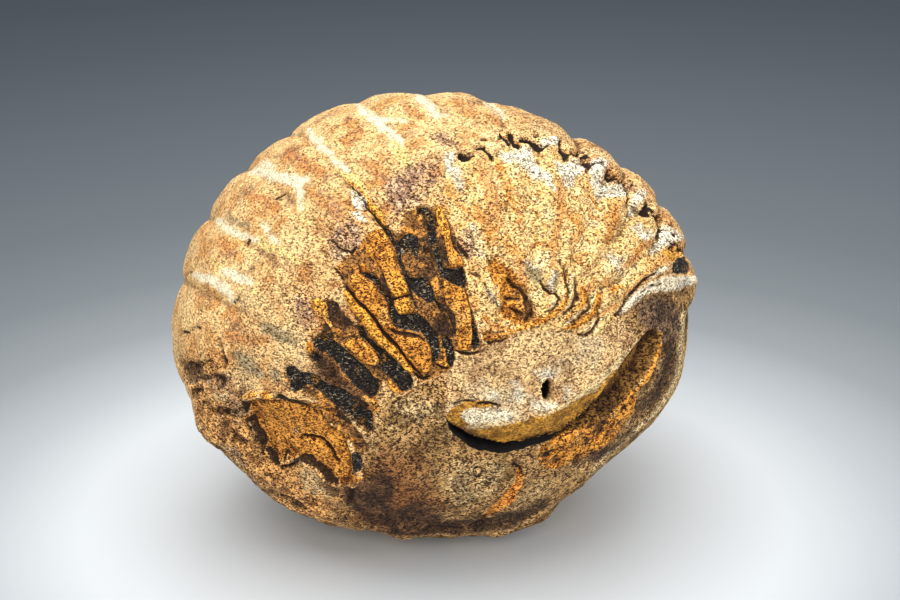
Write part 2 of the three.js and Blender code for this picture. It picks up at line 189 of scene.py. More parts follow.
def outside(points):
    """Below zero inside the smooth lump, above zero outside it."""
    angle = np.degrees(np.arctan2(points[:, 2], points[:, 0]))
    along = np.hypot(points[:, 0], points[:, 2]) / outline_reach(angle)
    return along ** FULLNESS + np.abs(points[:, 1] / HALF_DEPTH) ** FULLNESS - 1


def unit(vectors):
    return vectors / np.linalg.norm(vectors, axis=1, keepdims=True)


def grain(points, size, seed, octaves=3):
    """Random unevenness, about -1 to 1, in lumps about size mm across, each octave half as big."""
    total = np.zeros(len(points))
    for octave in range(octaves):
        place = points / size * 2 ** octave + seed * SEED_SHIFT
        cell = np.floor(place)
        part = place - cell
        part = part * part * (3 - 2 * part)
        for corner in product((0, 1), repeat=3):
            spot = (cell + corner) @ SCATTER
            weight = np.prod(np.where(corner, part, 1 - part), axis=1)
            total += np.modf(np.sin(spot + seed) * SCATTER_GAIN)[0] * weight / 2 ** octave
    return total


ball = bmesh.new()
bmesh.ops.create_cube(ball, size=2)
bmesh.ops.subdivide_edges(ball, edges=ball.edges[:], cuts=CUTS, use_grid_fill=True)
stone_mesh = bpy.data.meshes.new("trilobite_stone")
ball.to_mesh(stone_mesh)
ball.free()

corners = np.empty(len(stone_mesh.vertices) * 3)
stone_mesh.vertices.foreach_get("co", corners)
even_rays = unit(np.tan(corners.reshape(-1, 3) * math.pi / 4))
rays = unit(even_rays - [0, CROWDING, 0])
inner, outer = np.zeros(len(rays)), np.full(len(rays), WELL_OUTSIDE)
for _ in range(HALVINGS):
    halfway = (inner + outer) / 2
    within = outside(HEART + rays * halfway[:, None]) < 0
    inner, outer = np.where(within, halfway, inner), np.where(within, outer, halfway)
skin = HEART + rays * inner[:, None]

steps = SLOPE_STEP * np.eye(3)
slope = np.stack([outside(skin + step) - outside(skin - step) for step in steps], axis=1)
out = unit(slope)

# The animal's own frame is leaned and turned to the way that it lies.
pose = np.array(Matrix.Rotation(TURN, 3, "Z") @ Matrix.Rotation(-LEAN, 3, "X"))


def laid(points):
    """Points of the animal's own frame, where they are in the stone as it lies."""
    return points @ pose.T + middle


# ---- The ringed back ----
# Twelve hinged rings of the back, from the tail round to the nape, as swollen bands with furrows
# between them. Two long furrows part them into a middle lobe and the ribs of either flank, which
# are whole on the far side and worn down on the near one.
HUB_HEIGHT = -10
JOINTS = np.array([22, 31, 41.8, 51.9, 62, 79.2, 90.5, 101.5, 114, 124, 135.3, 148, 172])
AXIS_HALF_WIDTH = 12
AXIS_FURROW = (0.6, 1.7)
RING_TAIL, RING_BACK, RING_SOUND, RING_WORN = 1, 0.55, 0.8, 0.42
RING_LEVEL = 0.6
TAIL_RINGS_END = (56, 80)
FAN_SIDE = 96
RIB_GROOVE = {"depth": 0.22, "across": 0.38, "width": 0.09}
CREASE = {"depth": 0.13, "width": 0.1, "fades_from": 3, "fades_to": -9}

hub_angle = np.mod(np.degrees(np.arctan2(skin[:, 2] - HUB_HEIGHT, skin[:, 0])), 360)
from_hub = np.hypot(skin[:, 0], skin[:, 2] - HUB_HEIGHT)
flank = np.abs(skin[:, 1])
far_side = skin[:, 1] > 0
ring = np.clip(np.searchsorted(JOINTS, hub_angle), 1, len(JOINTS) - 1)
across_ring = np.clip((hub_angle - JOINTS[ring - 1]) / (JOINTS[ring] - JOINTS[ring - 1]), 0, 1)
swell = 1 - np.abs(2 * across_ring - 1) ** 3
over_back = ramp(hub_angle, JOINTS[0] - 18, JOINTS[0] + 2) * (1 - ramp(hub_angle, JOINTS[-1], JOINTS[-1] + 6))
on_axis = 1 - ramp(flank, AXIS_HALF_WIDTH - 1, AXIS_HALF_WIDTH + 1)
worn_ribs = RING_WORN * ramp(from_hub, 20, 25) * ramp(hub_angle, FAN_SIDE - 8, FAN_SIDE + 8)
sound_ribs = RING_SOUND * ramp(from_hub, 7, 13)
rib_height = np.where(far_side, sound_ribs, worn_ribs)
crown = RING_TAIL + (RING_BACK - RING_TAIL) * ramp(hub_angle, *TAIL_RINGS_END)
ring_height = rib_height + (crown - rib_height) * on_axis
sound = np.where(far_side, 1, ramp(hub_angle, FAN_SIDE - 20, FAN_SIDE))
furrow = AXIS_FURROW[0] * near(flank - AXIS_HALF_WIDTH, AXIS_FURROW[1])
rib_groove = RIB_GROOVE["depth"] * near(across_ring - RIB_GROOVE["across"], RIB_GROOVE["width"])
rib_groove *= far_side * ramp(from_hub, 12, 18) * (1 - on_axis)
from_joint = 1 - np.abs(2 * across_ring - 1)
crease = CREASE["depth"] * near(from_joint, CREASE["width"])
crease *= ramp(skin[:, 1], CREASE["fades_to"], CREASE["fades_from"])
form = over_back * (ring_height * (swell - RING_LEVEL) - furrow * sound - rib_groove - crease)

# ---- The head ----
# The head shield is under the lump and round its left end: a lobed brow along the middle, a low
# eye on the sound cheek, and a furrow inside the cheek's border.
BROW = {"from": 168, "to": 322, "half_width": 8.5, "height": 1.1, "lobe": 24, "notch": 0.07}
EYE_LOBE = {"x": -17, "z": -6.5, "radius": 3.4, "height": 2.0}
CHEEK_GROOVE = {"from": 186, "to": 338, "reach": 0.72, "width": 0.07, "depth": 0.7}

along_brow = ramp(hub_angle, BROW["from"], BROW["from"] + 8)
along_brow *= 1 - ramp(hub_angle, BROW["to"] - 14, BROW["to"])
across_brow = 1 - ramp(flank, BROW["half_width"] - 1.6, BROW["half_width"] + 1.6)
round_lobe = np.cos(np.radians((hub_angle - BROW["from"]) * 360 / BROW["lobe"]))
form += BROW["height"] * along_brow * across_brow * (1 - BROW["notch"] * (1 - round_lobe))
from_eye_lobe = np.hypot(skin[:, 0] - EYE_LOBE["x"], skin[:, 2] - EYE_LOBE["z"])
form += far_side * EYE_LOBE["height"] * near(from_eye_lobe, EYE_LOBE["radius"])
reach = np.hypot(skin[:, 0], skin[:, 2]) / outline_reach(np.degrees(np.arctan2(skin[:, 2], skin[:, 0])))
along_cheek = ramp(hub_angle, CHEEK_GROOVE["from"], CHEEK_GROOVE["from"] + 12)
along_cheek *= 1 - ramp(hub_angle, CHEEK_GROOVE["to"] - 12, CHEEK_GROOVE["to"])
across_cheek = near(reach - CHEEK_GROOVE["reach"], CHEEK_GROOVE["width"])
form -= far_side * CHEEK_GROOVE["depth"] * along_cheek * across_cheek

# Weather has left it all a little uneven, most of all on the chipped edge at the lower left.
ROUGHNESS = 0.22
DENTS = 0.06
CHIPPED = {"middle": [-21, -8, -9], "radius": 8, "ledge": 0.4}
chipped = near(np.linalg.norm(skin - CHIPPED["middle"], axis=1), CHIPPED["radius"])
form += ROUGHNESS * (grain(skin, 9, 1, 1) + 0.6 * grain(skin, 3.2, 2, 2) * (1 + 1.8 * chipped))
form += DENTS * grain(skin, 1.7, 17, 2)
terrace = np.mod(flank * 0.9 + 0.5 * grain(skin, 3, 3), 1)
form += CHIPPED["ledge"] * chipped * (terrace ** 3 - 0.3)
formed = skin + out * form[:, None]

# ---- The tail's lip ----
# The tail shield's edge is a rolled lip, smooth and pale, that bulges out over a deep crescent gap.
# Beyond the gap is the head's border, whose inner face is a rough ochre band. The marks from here
# on are drawn on the sheet, each as a relief and as a stain of its own.
facing = np.sum(unit(eye - laid(formed)) * (out @ pose.T), axis=1)
seen = ramp(facing, 0.02, 0.12)
either_side = np.where(far_side, 1, seen)
waver = [0.12 * grain(formed, 1.2, seed) + 0.04 * grain(formed, 0.45, seed + 8, 1) for seed in (4, 5)]


def on_sheet(points):
    """Where spots are seen on the sheet, a little wavering, the far flank as the near one's mirror."""
    mirrored = points * np.where(far_side[:, None], [1, -1, 1], 1)
    seen_x, seen_y = drawn(laid(mirrored))
    return seen_x + waver[0], seen_y + waver[1]


NOWHERE_NEAR = 99.0


def nearest_on(x0, y0, x1, y1):
    """How far each spot is from a straight piece of a mark, mm, and how far along that piece."""
    run, rise = x1 - x0, y1 - y0
    part = np.clip(((sheet_x - x0) * run + (sheet_y - y0) * rise) / (run * run + rise * rise), 0, 1)
    return np.hypot(sheet_x - x0 - run * part, sheet_y - y0 - rise * part), part


def brush(strokes):
    """How far each spot is outside the nearest stroke, mm. A stroke is points with a half-width."""
    best = np.full(len(sheet_x), NOWHERE_NEAR)
    for stroke in strokes:
        for (x0, y0, r0), (x1, y1, r1) in zip(stroke, stroke[1:]):
            gap, part = nearest_on(x0, y0, x1, y1)
            best = np.minimum(best, gap - r0 - (r1 - r0) * part)
    return best


def patch(*outlines):
    """How far each spot is outside the nearest closed outline, mm. Below zero is inside it."""
    best = np.full(len(sheet_x), NOWHERE_NEAR)
    for outline in outlines:
        edge = np.full(len(sheet_x), NOWHERE_NEAR)
        inside = np.zeros(len(sheet_x), bool)
        for (x0, y0), (x1, y1) in zip(outline, outline[1:] + outline[:1]):
            edge = np.minimum(edge, nearest_on(x0, y0, x1, y1)[0])
            if y1 != y0:
                crossing = x0 + (x1 - x0) * (sheet_y - y0) / (y1 - y0)
                inside ^= ((y0 > sheet_y) != (y1 > sheet_y)) & (sheet_x < crossing)
        best = np.minimum(best, np.where(inside, -edge, edge))
    return best


def soft(distance, edge):
    """1 well inside a mark and 0 well outside it, over an edge in mm."""
    return np.clip(0.5 - distance / edge, 0, 1)


finish = {}


def stain(name, strength):
    """Adds to a mark's layer, which runs from 0 to 1 over the stone."""
    finish[name] = np.maximum(finish.get(name, 0), np.clip(strength, 0, 1))


LIP = {"x": 7.8, "y": -0.1, "reach": 11, "width": 2.4, "height": 1, "from": 232, "to": 350}
GAP = [(0.9, -10), (1.4, -10.6), (2, -11), (2.7, -11.4), (3.6, -12), (4.9, -12.5), (6.3, -12.8),
       (7.6, -12.8), (9.6, -12.6), (10.9, -12.3), (12.3, -11.8), (13.6, -10.8), (14.8, -9.9), (15.6, -9.1),
       (15.9, -8.9), (15.8, -9.5), (14.9, -10.5), (13.7, -11.4), (12.4, -12.3), (11, -12.9), (9.6, -13.3),
       (7.6, -13.7), (5.6, -13.8), (4.5, -13.6), (3.5, -13.1), (2.4, -12.3), (1.5, -11.4)]
TROUGH = [(12.2, -12.2), (13.6, -11.1), (14.8, -10.2), (15.6, -9.4), (16.4, -8.4), (17.3, -7.4),
          (18.3, -6.2), (18.9, -5.2), (19.6, -4.2), (20.3, -3.3), (21.1, -2.4), (21.8, -1.7), (22.3, -1.5),
          (22.7, -2.3), (22.3, -3.6), (22, -4.4), (21.1, -6.2), (20.3, -7), (19.6, -8.2), (18.4, -9.2),
          (16.8, -10.5), (15.6, -11.2), (14.3, -11.7), (12.9, -12.4), (11.6, -13.1)]
OCHRE_BAND = [(10.5, -13.7), (11.1, -13), (12, -12.6), (13, -12.2), (14.1, -11.7), (16.3, -10.9),
              (17.2, -10.5), (17.9, -9.9), (19.4, -8.4), (20, -7.7), (20.3, -7.9), (20.2, -8.8),
              (19.8, -9.7), (19.4, -10.4), (18.9, -11.3), (18.3, -12.2), (17.4, -12.9), (16.6, -13.4),
              (15.6, -14), (13.6, -15), (12.2, -15.5), (11.1, -15.4), (10.6, -14.6)]
BAND_RIDGE = [(22.7, -2, 0.08), (22.6, -3, 0.1), (22.4, -3.8, 0.12), (22.1, -4.7, 0.14), (21.7, -5.6, 0.14),
              (21.2, -6.5, 0.13), (20.6, -7.3, 0.11), (19.7, -8.2, 0.11), (18.7, -9.1, 0.1),
              (17, -10.3, 0.08), (15.6, -11.1, 0.08), (14.2, -11.8, 0.08), (12.6, -12.5, 0.1),
              (11.3, -13.2, 0.1)]
RIM = [(2.7, -10.4), (3.6, -11.2), (4.6, -11.4), (5.4, -11.1), (6.6, -10.8), (7.6, -10.8), (9.6, -10.4),
       (10.9, -10.2), (11.6, -9.8), (12.6, -9.3), (13.4, -8.8), (14.4, -7.9), (15.6, -7.3), (16.6, -6.4),
       (17.6, -5.6), (19.4, -3.8), (20.3, -3), (20.4, -3.2), (19.6, -4), (18.9, -5), (18.3, -6),
       (17.3, -7.2), (16.4, -8.2), (15.6, -9.2), (14.8, -10), (13.6, -10.9), (12.3, -11.9), (10.9, -12.4),
       (9.6, -12.7), (7.6, -12.9), (6.3, -12.9), (4.9, -12.7), (3.6, -12.1), (2.6, -11.5), (1.8, -11),
       (2.3, -10.9)]
LIP_TOP = [(2.1, -3.8), (4.6, -4), (5, -3.1), (7.1, -2.6), (8.6, -1.9), (10.6, -1.6), (12.6, -1.6),
           (14.4, -2.2), (16.8, -2.2), (18.4, -0.2), (19.6, -1.6), (20.6, -2.6), (20.1, -3.1), (18.6, -5.1),
           (16.6, -6.8), (14.6, -8.3), (12.6, -9.5), (9.6, -10.4), (5.6, -11.1), (3.6, -11.3), (2.2, -10.6),
           (1.1, -9.6), (1.4, -8.2), (1.2, -6.6), (0.6, -5.8)]
LIP_END = [(6.3, -9), (5.4, -8.9), (4.6, -8.7), (3.6, -8.7), (2.6, -8.9), (1.8, -9.3), (1.2, -9.8),
           (1, -10.4), (1.5, -10.9), (2.3, -11), (2.7, -10.5), (2.7, -9.8), (3.4, -9.5), (4.6, -9.4),
           (5.6, -9.3)]
LIP_WHITE = [
    [(2.9, -9.7), (3.8, -9.4), (5, -9.6), (6.6, -9.4), (8.1, -9.8), (7.6, -10.6), (3.6, -11.2),
     (2.8, -10.6)],
    [(4.8, -8), (6, -7.6), (6.6, -8), (6.4, -8.7), (5.2, -8.7)],
    [(7.7, -6.8), (8.3, -6.6), (9, -7.4), (9.2, -8.4), (8.6, -9), (7.4, -8.6), (7.8, -7.8)],
    [(9.4, -8.2), (10.6, -8.6), (12.2, -9), (12.6, -9.4), (11.1, -9.9), (9.6, -9.6)],
    [(10, -5.8), (11.1, -5.2), (12.6, -5.6), (12.2, -6.3), (10.6, -6.6)],
    [(12.8, -7.2), (13.8, -7.2), (14.2, -8), (13, -8.4)],
]
# Painted highlights along the lip's top edge, where the light catches it.
LIP_PAINTED_HIGHLIGHT = [
    [(3.2, -11.4, 0.1), (4.6, -11.3, 0.12), (6.1, -11, 0.12), (7.6, -10.9, 0.1), (9.4, -10.5, 0.1)],
    [(10.9, -10.1, 0.1), (12.2, -9.5, 0.16), (13.4, -8.8, 0.18), (14.6, -8.1, 0.22), (15.8, -7.3, 0.26),
     (16.8, -6.5, 0.3), (17.8, -5.5, 0.3), (18.8, -4.6, 0.26), (19.6, -3.8, 0.2), (20.3, -3, 0.1)],
]
LIP_SHADE = [
    [(4.4, -9, 0.1), (5.4, -9, 0.12), (6.6, -9.2, 0.1)],
    [(2, -8.9, 0.08), (2.8, -8.7, 0.08), (4.1, -8.7, 0.08)],
    [(15.8, -9.1, 0.1), (16.6, -8.2, 0.1), (17.6, -7, 0.1), (18.6, -5.7, 0.1), (19.6, -4.2, 0.1),
     (20.3, -3.2, 0.08)],
]
HOLE = [(11.3, -6.7), (11.8, -6.8), (12.2, -7.4), (12.2, -8.3), (11.9, -9), (11.4, -9), (11, -8.4),
        (10.9, -7.6), (11, -7.1)]
GAP_DEPTH, TROUGH_DEPTH, HOLE_DEPTH = 4, 1.5, 3
RIM_DROP, RIM_REACH = 0.9, 1.9
BAND_ROUGHNESS, RIDGE_HEIGHT, LIP_GROOVE = 0.34, 0.3, 0.35
PASSES = 4

# The bulge moves what is seen, so it settles in a few passes.
bulge = np.zeros(len(skin))
for _ in range(PASSES):
    sheet_x, sheet_y = on_sheet(formed + out * bulge[:, None])
    lip_angle = np.mod(np.degrees(np.arctan2(sheet_y - LIP["y"], sheet_x - LIP["x"])), 360)
    lip_reach = np.hypot(sheet_x - LIP["x"], sheet_y - LIP["y"])
    along_lip = ramp(lip_angle, LIP["from"] - 8, LIP["from"] + 8)
    along_lip *= 1 - ramp(lip_angle, LIP["to"] - 12, LIP["to"] + 4)
    gap = patch(GAP)
    on_rim = soft(patch(RIM), 0.4) * either_side
    raised = LIP["height"] * along_lip * near(lip_reach - LIP["reach"], LIP["width"])
    tucked = RIM_DROP * (1 - ramp(gap, 0, RIM_REACH))
    bulge = (bulge + raised * either_side - on_rim * tucked) / 2

in_gap = soft(gap + 0.4, 0.5) * either_side
in_trough = soft(patch(TROUGH) + 0.2, 0.8) * either_side
in_band = soft(patch(OCHRE_BAND), 0.4) * seen
in_hole = soft(patch(HOLE), 0.25) * seen
band_ridge = soft(brush([BAND_RIDGE]), 0.3) * seen
lip_grooves = soft(brush(LIP_SHADE), 0.3) * seen
band_grain = grain(skin, 1.1, 9, 2)
relief = bulge + RIDGE_HEIGHT * band_ridge + BAND_ROUGHNESS * in_band * band_grain
relief -= np.maximum.reduce([in_gap * GAP_DEPTH, in_trough * TROUGH_DEPTH, in_hole * HOLE_DEPTH])
relief -= LIP_GROOVE * lip_grooves
stain("lip", soft(patch(LIP_TOP), 0.8) * either_side)
stain("rim", on_rim)
stain("rim", soft(patch(LIP_END), 0.5) * seen)
# The lip's top edge gets a painted highlight in the lit tone.
stain("lit", soft(brush(LIP_PAINTED_HIGHLIGHT), 0.7) * seen)
stain("white", soft(patch(*LIP_WHITE), 1.6) * seen)
# Painted shade on the rim's underside just above the gap, broken up by grain.
stain("umber_and_painted_shade", 0.75 * on_rim * ramp(0.9 - gap, 0, 0.9) * ramp(grain(skin, 2.2, 24, 2), -0.5, 0.5))
stain("trough", soft(patch(TROUGH) - 0.12, 0.4) * either_side)
stain("ochre", np.maximum(in_band, band_ridge * soft(-patch(TROUGH), 0.3)))
stain("umber_and_painted_shade", 0.8 * in_band * ramp(-band_grain, 0.05, 0.6))
# Painted shadow: the deep gap and the hole are painted near black.
stain("gap", np.maximum(soft(gap, 0.3) * either_side, in_hole))
# Painted shade in the lip's grooves.
stain("groove_shade", lip_grooves)

# ---- The ring furrows' filling ----
# Cream limestone has filled the furrows between the upper rings, in short tapering streaks that
# run out into yellow. Iron has stained the rings between them orange and brown.
CREAM = [
    [(-23.8, 3.9, 0.3), (-22.8, 3.6, 0.5), (-21.8, 3.3, 0.5), (-21, 2.6, 0.5), (-20.4, 2, 0.4),
     (-20.1, 1.3, 0.2)],
    [(-21.1, 4.2, 0.3), (-20.4, 4.1, 0.5), (-19.6, 3.7, 0.5), (-18.8, 3.3, 0.4), (-18.3, 3, 0.2)],
    [(-22, 9.6, 0.1), (-21.4, 9.2, 0.35), (-20.6, 8.5, 0.4), (-19.6, 8, 0.4), (-18.6, 7.6, 0.4),
     (-17.8, 7.4, 0.3)],
    [(-17, 9, 0.2), (-16.7, 8.5, 0.3), (-16.6, 8.2, 0.1)],
    [(-16.4, 7.7, 0.25), (-15.9, 7.4, 0.35), (-15.5, 7.1, 0.15)],
    [(-18.2, 14.2, 0.4), (-17.2, 14.2, 0.5), (-16.2, 13.8, 0.6), (-15.1, 13.5, 0.6), (-14.1, 13.4, 0.6),
     (-13.4, 13.3, 0.5), (-12.6, 13.5, 0.2)],
    [(-13.6, 13, 0.5), (-13.4, 12.2, 0.4), (-13.4, 11.4, 0.3), (-13.2, 10.4, 0.2)],
    [(-17.2, 15, 0.2), (-16.6, 15.1, 0.3), (-16.2, 14.6, 0.3)],
    [(-12.4, 18.3, 0.3), (-12.1, 17.7, 0.4), (-11.7, 17.1, 0.45), (-11.1, 16.5, 0.4), (-10.5, 16, 0.3),
     (-10, 15.3, 0.3), (-9.2, 14.7, 0.35), (-8.6, 14.3, 0.3)],
    [(-7.6, 20.8, 0.2), (-7.1, 20.2, 0.4), (-6.4, 19.7, 0.4), (-5.7, 19.2, 0.5), (-5.1, 18.6, 0.5),
     (-4.4, 18.1, 0.4), (-3.7, 17.6, 0.4), (-3.3, 17.1, 0.3)],
    [(-5.6, 19.2, 0.3), (-4.6, 19.3, 0.3), (-3.6, 19.3, 0.2), (-2.6, 19.2, 0.15)],
    [(-1.6, 21.6, 0.3), (-1, 21.2, 0.4), (-0.4, 20.6, 0.45), (0, 20.1, 0.4), (0.4, 19.7, 0.3),
     (1.3, 19.7, 0.2)],
    [(5.3, 21.2, 0.25), (6.1, 20.4, 0.3), (7.1, 19.6, 0.15)],
]
YELLOW = [
    [(-22.4, 5.6, 0.2), (-21.8, 5, 0.3), (-21.3, 4.3, 0.3)],
    [(-17.8, 7.4, 0.4), (-16.8, 6.8, 0.5), (-15.8, 6.5, 0.5), (-14.6, 5.8, 0.4), (-13.7, 5.3, 0.3)],
    [(-15.5, 7.1, 0.2), (-14.9, 6.4, 0.2), (-14.4, 5.8, 0.2)],
    [(-9.6, 14.3, 0.4), (-8.6, 13.8, 0.5), (-7.8, 13.3, 0.4), (-7.2, 12.8, 0.3)],
    [(-3.9, 16.8, 0.5), (-3.2, 15.9, 0.6), (-2.8, 15, 0.4)],
    [(-18.3, 3, 0.2), (-17.8, 2.1, 0.15)],
    [(-13.4, 11.4, 0.4), (-13.1, 10.2, 0.3), (-12.2, 9, 0.2)],
]
STAINS = [
    [(-18.2, 11.6, 0.5), (-17.2, 11.6, 0.6), (-15.9, 10.9, 0.6), (-16.2, 10, 0.3)],
    [(-21, 7, 0.5), (-20.4, 6.2, 0.7), (-19.4, 5.6, 0.5)],
    [(-23.6, 1.8, 0.4), (-22.6, 1.6, 0.4)],
    [(-20.2, 0.8, 0.4), (-19.8, -0.6, 0.5), (-19.4, -1.6, 0.3)],
    [(-14.4, 15.9, 0.8), (-12.9, 14.9, 0.9), (-11.4, 14.2, 0.6)],
    [(-8.4, 19.4, 0.6), (-7.6, 18.2, 0.8), (-8.9, 17.2, 0.6)],
    [(-2.9, 20.9, 0.5), (-2.2, 20.2, 0.6), (-1.4, 19.8, 0.4)],
    [(2.4, 21, 0.5), (3.4, 20.6, 0.4)],
    [(-3, 17.8, 0.3), (-2, 17.5, 0.3)],
    [(-7.2, 15.2, 0.4), (-6, 14.6, 0.7), (-4.8, 13.2, 0.7)],
    [(-12.2, 12, 0.6), (-10.9, 11.2, 0.8), (-9.6, 10, 0.7)],
    [(-24.4, -7.6, 0.4), (-23.6, -7.8, 0.5)],
    [(4.1, 10.9, 0.5), (5.1, 9.8, 0.6), (5.8, 8.2, 0.6), (5.4, 6.9, 0.4)],
    [(1.4, 12.9, 0.4), (1.8, 11.8, 0.5)],
    [(6.6, 15.6, 0.3), (6.9, 14.2, 0.4), (7.3, 12.9, 0.5), (7.8, 11.6, 0.6), (8.6, 10.2, 0.5),
     (9, 7.4, 0.4)],
    [(20.6, 8.6, 0.3), (21.1, 6.6, 0.4), (20.2, 5.4, 0.4)],
    [(15.6, 13.4, 0.3), (15.4, 11.4, 0.4), (16.4, 9.9, 0.5), (18.4, 9.6, 0.4), (17.6, 7.4, 0.5)],
    [(14.6, 5.9, 0.4), (15, 4.9, 0.4)],
    [(-0.4, -5.8, 0.5), (0.6, -6.2, 0.4)],
    [(-20.4, -2.1, 0.8), (-18.9, -2.6, 0.6)],
]
FILLING_HEIGHT = 0.35
FAR_CLOUDS = [("stained", 8, 28, -0.1), ("mauve", 6, 29, 0.25), ("grey", 7, 30, 0.3), ("pale", 9, 31, 0.1)]
CLINGING_HEIGHT = 0.3
cream = brush(CREAM)
stain("cream", soft(cream - 0.06, 0.9) * seen)
stain("pale", soft(cream - 0.1, 2.6) * 0.7 * seen)
stain("yellow", soft(brush(YELLOW), 0.9) * seen)
relief += FILLING_HEIGHT * soft(cream, 1.4) * over_back * (1 - swell) * seen
stain("stained", soft(brush(STAINS), 1.4) * seen)
in_furrow = over_back * near(from_joint, 0.22) * (1 - seen)
stain("cream", 0.8 * in_furrow * ramp(from_hub, 20, 27) * ramp(grain(skin, 6, 6), 0, 0.5))
stain("yellow", 0.7 * in_furrow * ramp(grain(skin, 7, 27), 0, 0.6))

# The far flank is stained too, in broad clouds, and rock still clings to it low down by the hub.
hidden_back = (1 - seen) * over_back
for name, size, seed, clear in FAR_CLOUDS:
    stain(name, 0.5 * hidden_back * ramp(grain(skin, size, seed), clear, clear + 0.9))
clinging = hidden_back * ramp(14 - from_hub + 7 * grain(skin, 6, 32), -2, 3)
stain("matrix", 0.9 * clinging)
relief += CLINGING_HEIGHT * clinging

# ---- The fan ----
# Where the outer shell has broken away at the upper right, a fan of crumbly yellow cast shows, with
# the ribs' faint flutes. It is lowest under the scalloped broken edge, with a painted shadow under it and
# pits painted dark as shade.
FAN = [(1.4, 16.1), (2.3, 15.4), (3.2, 15.4), (4, 16.2), (5, 16.4), (5.9, 15.9), (6.6, 16.8), (7.4, 17.1),
       (8.2, 16.8), (9.2, 17.3), (10.2, 17), (11.2, 16.6), (12.2, 16.4), (13, 15.9), (14, 15.8), (15, 15.4),
       (15.8, 14.8), (16.8, 14), (17.7, 13.4), (18.7, 13.2), (19.4, 12.4), (19.8, 11.5), (20.7, 11),
       (21.4, 10.2), (22.2, 9.4), (22.6, 8.2), (23, 7.2), (24, 6.4), (24.6, 5.8), (23.8, 5.2), (22.3, 4.6),
       (21.4, 3.8), (19.6, 2), (18.6, 0.4), (17.8, -1.1), (16.8, -2.3), (15.6, -2.2), (14.4, -2),
       (12.6, -1.5), (10.6, -1.5), (8.6, -1.8), (7.1, -2.5), (5, -3.1), (4.1, -0.4), (3.4, 1.1), (3.1, 2.6),
       (3.2, 4.6), (2.9, 6), (2.2, 7.4), (2.1, 8.6), (1.5, 9.8), (1.2, 11.4), (0.9, 13.4), (0.9, 15)]
LEDGE = [(2.4, 15.7, 0.08), (3, 16.3, 0.1), (3.7, 16.2, 0.1), (4.4, 16.8, 0.1), (5.2, 16.9, 0.12),
         (6.1, 16.1, 0.1), (6.5, 17.4, 0.1), (6.9, 18.1, 0.12), (7.7, 18.1, 0.15), (8.6, 17.3, 0.15),
         (9.6, 17.6, 0.15), (11, 16.8, 0.12), (12.2, 17.4, 0.1), (12.7, 17, 0.12), (13.8, 16.3, 0.15),
         (15.1, 15.8, 0.12), (15.8, 15, 0.1), (16.6, 15.4, 0.08), (17.5, 14.6, 0.1), (17.8, 14, 0.15),
         (18.6, 13.6, 0.1), (19.4, 12.9, 0.1), (19.7, 11.8, 0.1), (20.6, 12.2, 0.08), (21.5, 11.1, 0.1),
         (22.1, 10.1, 0.1), (22.7, 9, 0.1), (22.8, 7.6, 0.1), (23.8, 7.2, 0.1), (24.8, 7, 0.1),
         (25.2, 6, 0.1)]
LEDGE_PITS = [
    [(2.9, 16, 0.45), (3.2, 15.8, 0.45)],
    [(3.9, 16, 0.18), (4, 16.1, 0.18)],
    [(4.5, 16.7, 0.2), (5, 16.8, 0.2), (5.4, 16.5, 0.2), (5.8, 16.1, 0.15), (6.1, 15.9, 0.1)],
    [(4.7, 17.6, 0.12), (5.3, 17.6, 0.15)],
    [(6.7, 18.2, 0.15), (7.1, 17.8, 0.2), (7.5, 17.2, 0.2)],
    [(7.7, 18.2, 0.2), (7.9, 17.7, 0.35), (8.1, 17.2, 0.3), (8.6, 17.1, 0.2)],
    [(8.8, 17.6, 0.15), (9.4, 17.6, 0.2), (10.6, 17, 0.2), (10.9, 16.8, 0.1)],
    [(10.2, 17.9, 0.15), (10.6, 18, 0.15)],
    [(12.6, 17.4, 0.1), (12.8, 16.9, 0.15), (13, 16.4, 0.3), (13.4, 16.1, 0.35)],
    [(13.8, 16.3, 0.2), (14.3, 16.1, 0.15), (14.8, 15.9, 0.12), (15.1, 15.4, 0.1), (15.6, 15.1, 0.15),
     (15.6, 14.4, 0.08)],
    [(15.1, 16, 0.18), (15.6, 16, 0.18)],
    [(17.6, 14.6, 0.1), (17.4, 14, 0.25), (17.8, 13.7, 0.25), (18.2, 13.8, 0.2)],
    [(18.4, 13.4, 0.08), (19, 13.4, 0.08), (19.3, 13, 0.1), (19.5, 12.4, 0.1), (19.6, 11.7, 0.1),
     (19.6, 11.1, 0.08)],
    [(19.8, 13.5, 0.1), (20, 13, 0.15)],
    [(21.5, 11.1, 0.15), (21.3, 10.6, 0.25), (21.6, 10.1, 0.2), (22.2, 10, 0.1)],
    [(22.3, 10, 0.1), (22.5, 9.4, 0.1), (22.7, 8.6, 0.1), (22.7, 7.8, 0.1)],
    [(23.6, 9, 0.15), (24, 8.9, 0.1)],
    [(24.1, 8, 0.15), (24.2, 7.9, 0.15)],
    [(23.9, 7.1, 0.1), (23.8, 6.6, 0.12), (24.2, 6.3, 0.15), (24.7, 6.4, 0.1), (24.6, 7, 0.08)],
]
FAN_DEPTH = 0.5
FAN_HUB = (10, -4)
FLUTES = 0.2
FLUTE_ANGLE = 12
FAN_GRIT = 0.09
LEDGE_DROP, PIT_DEPTH = 0.3, 0.6

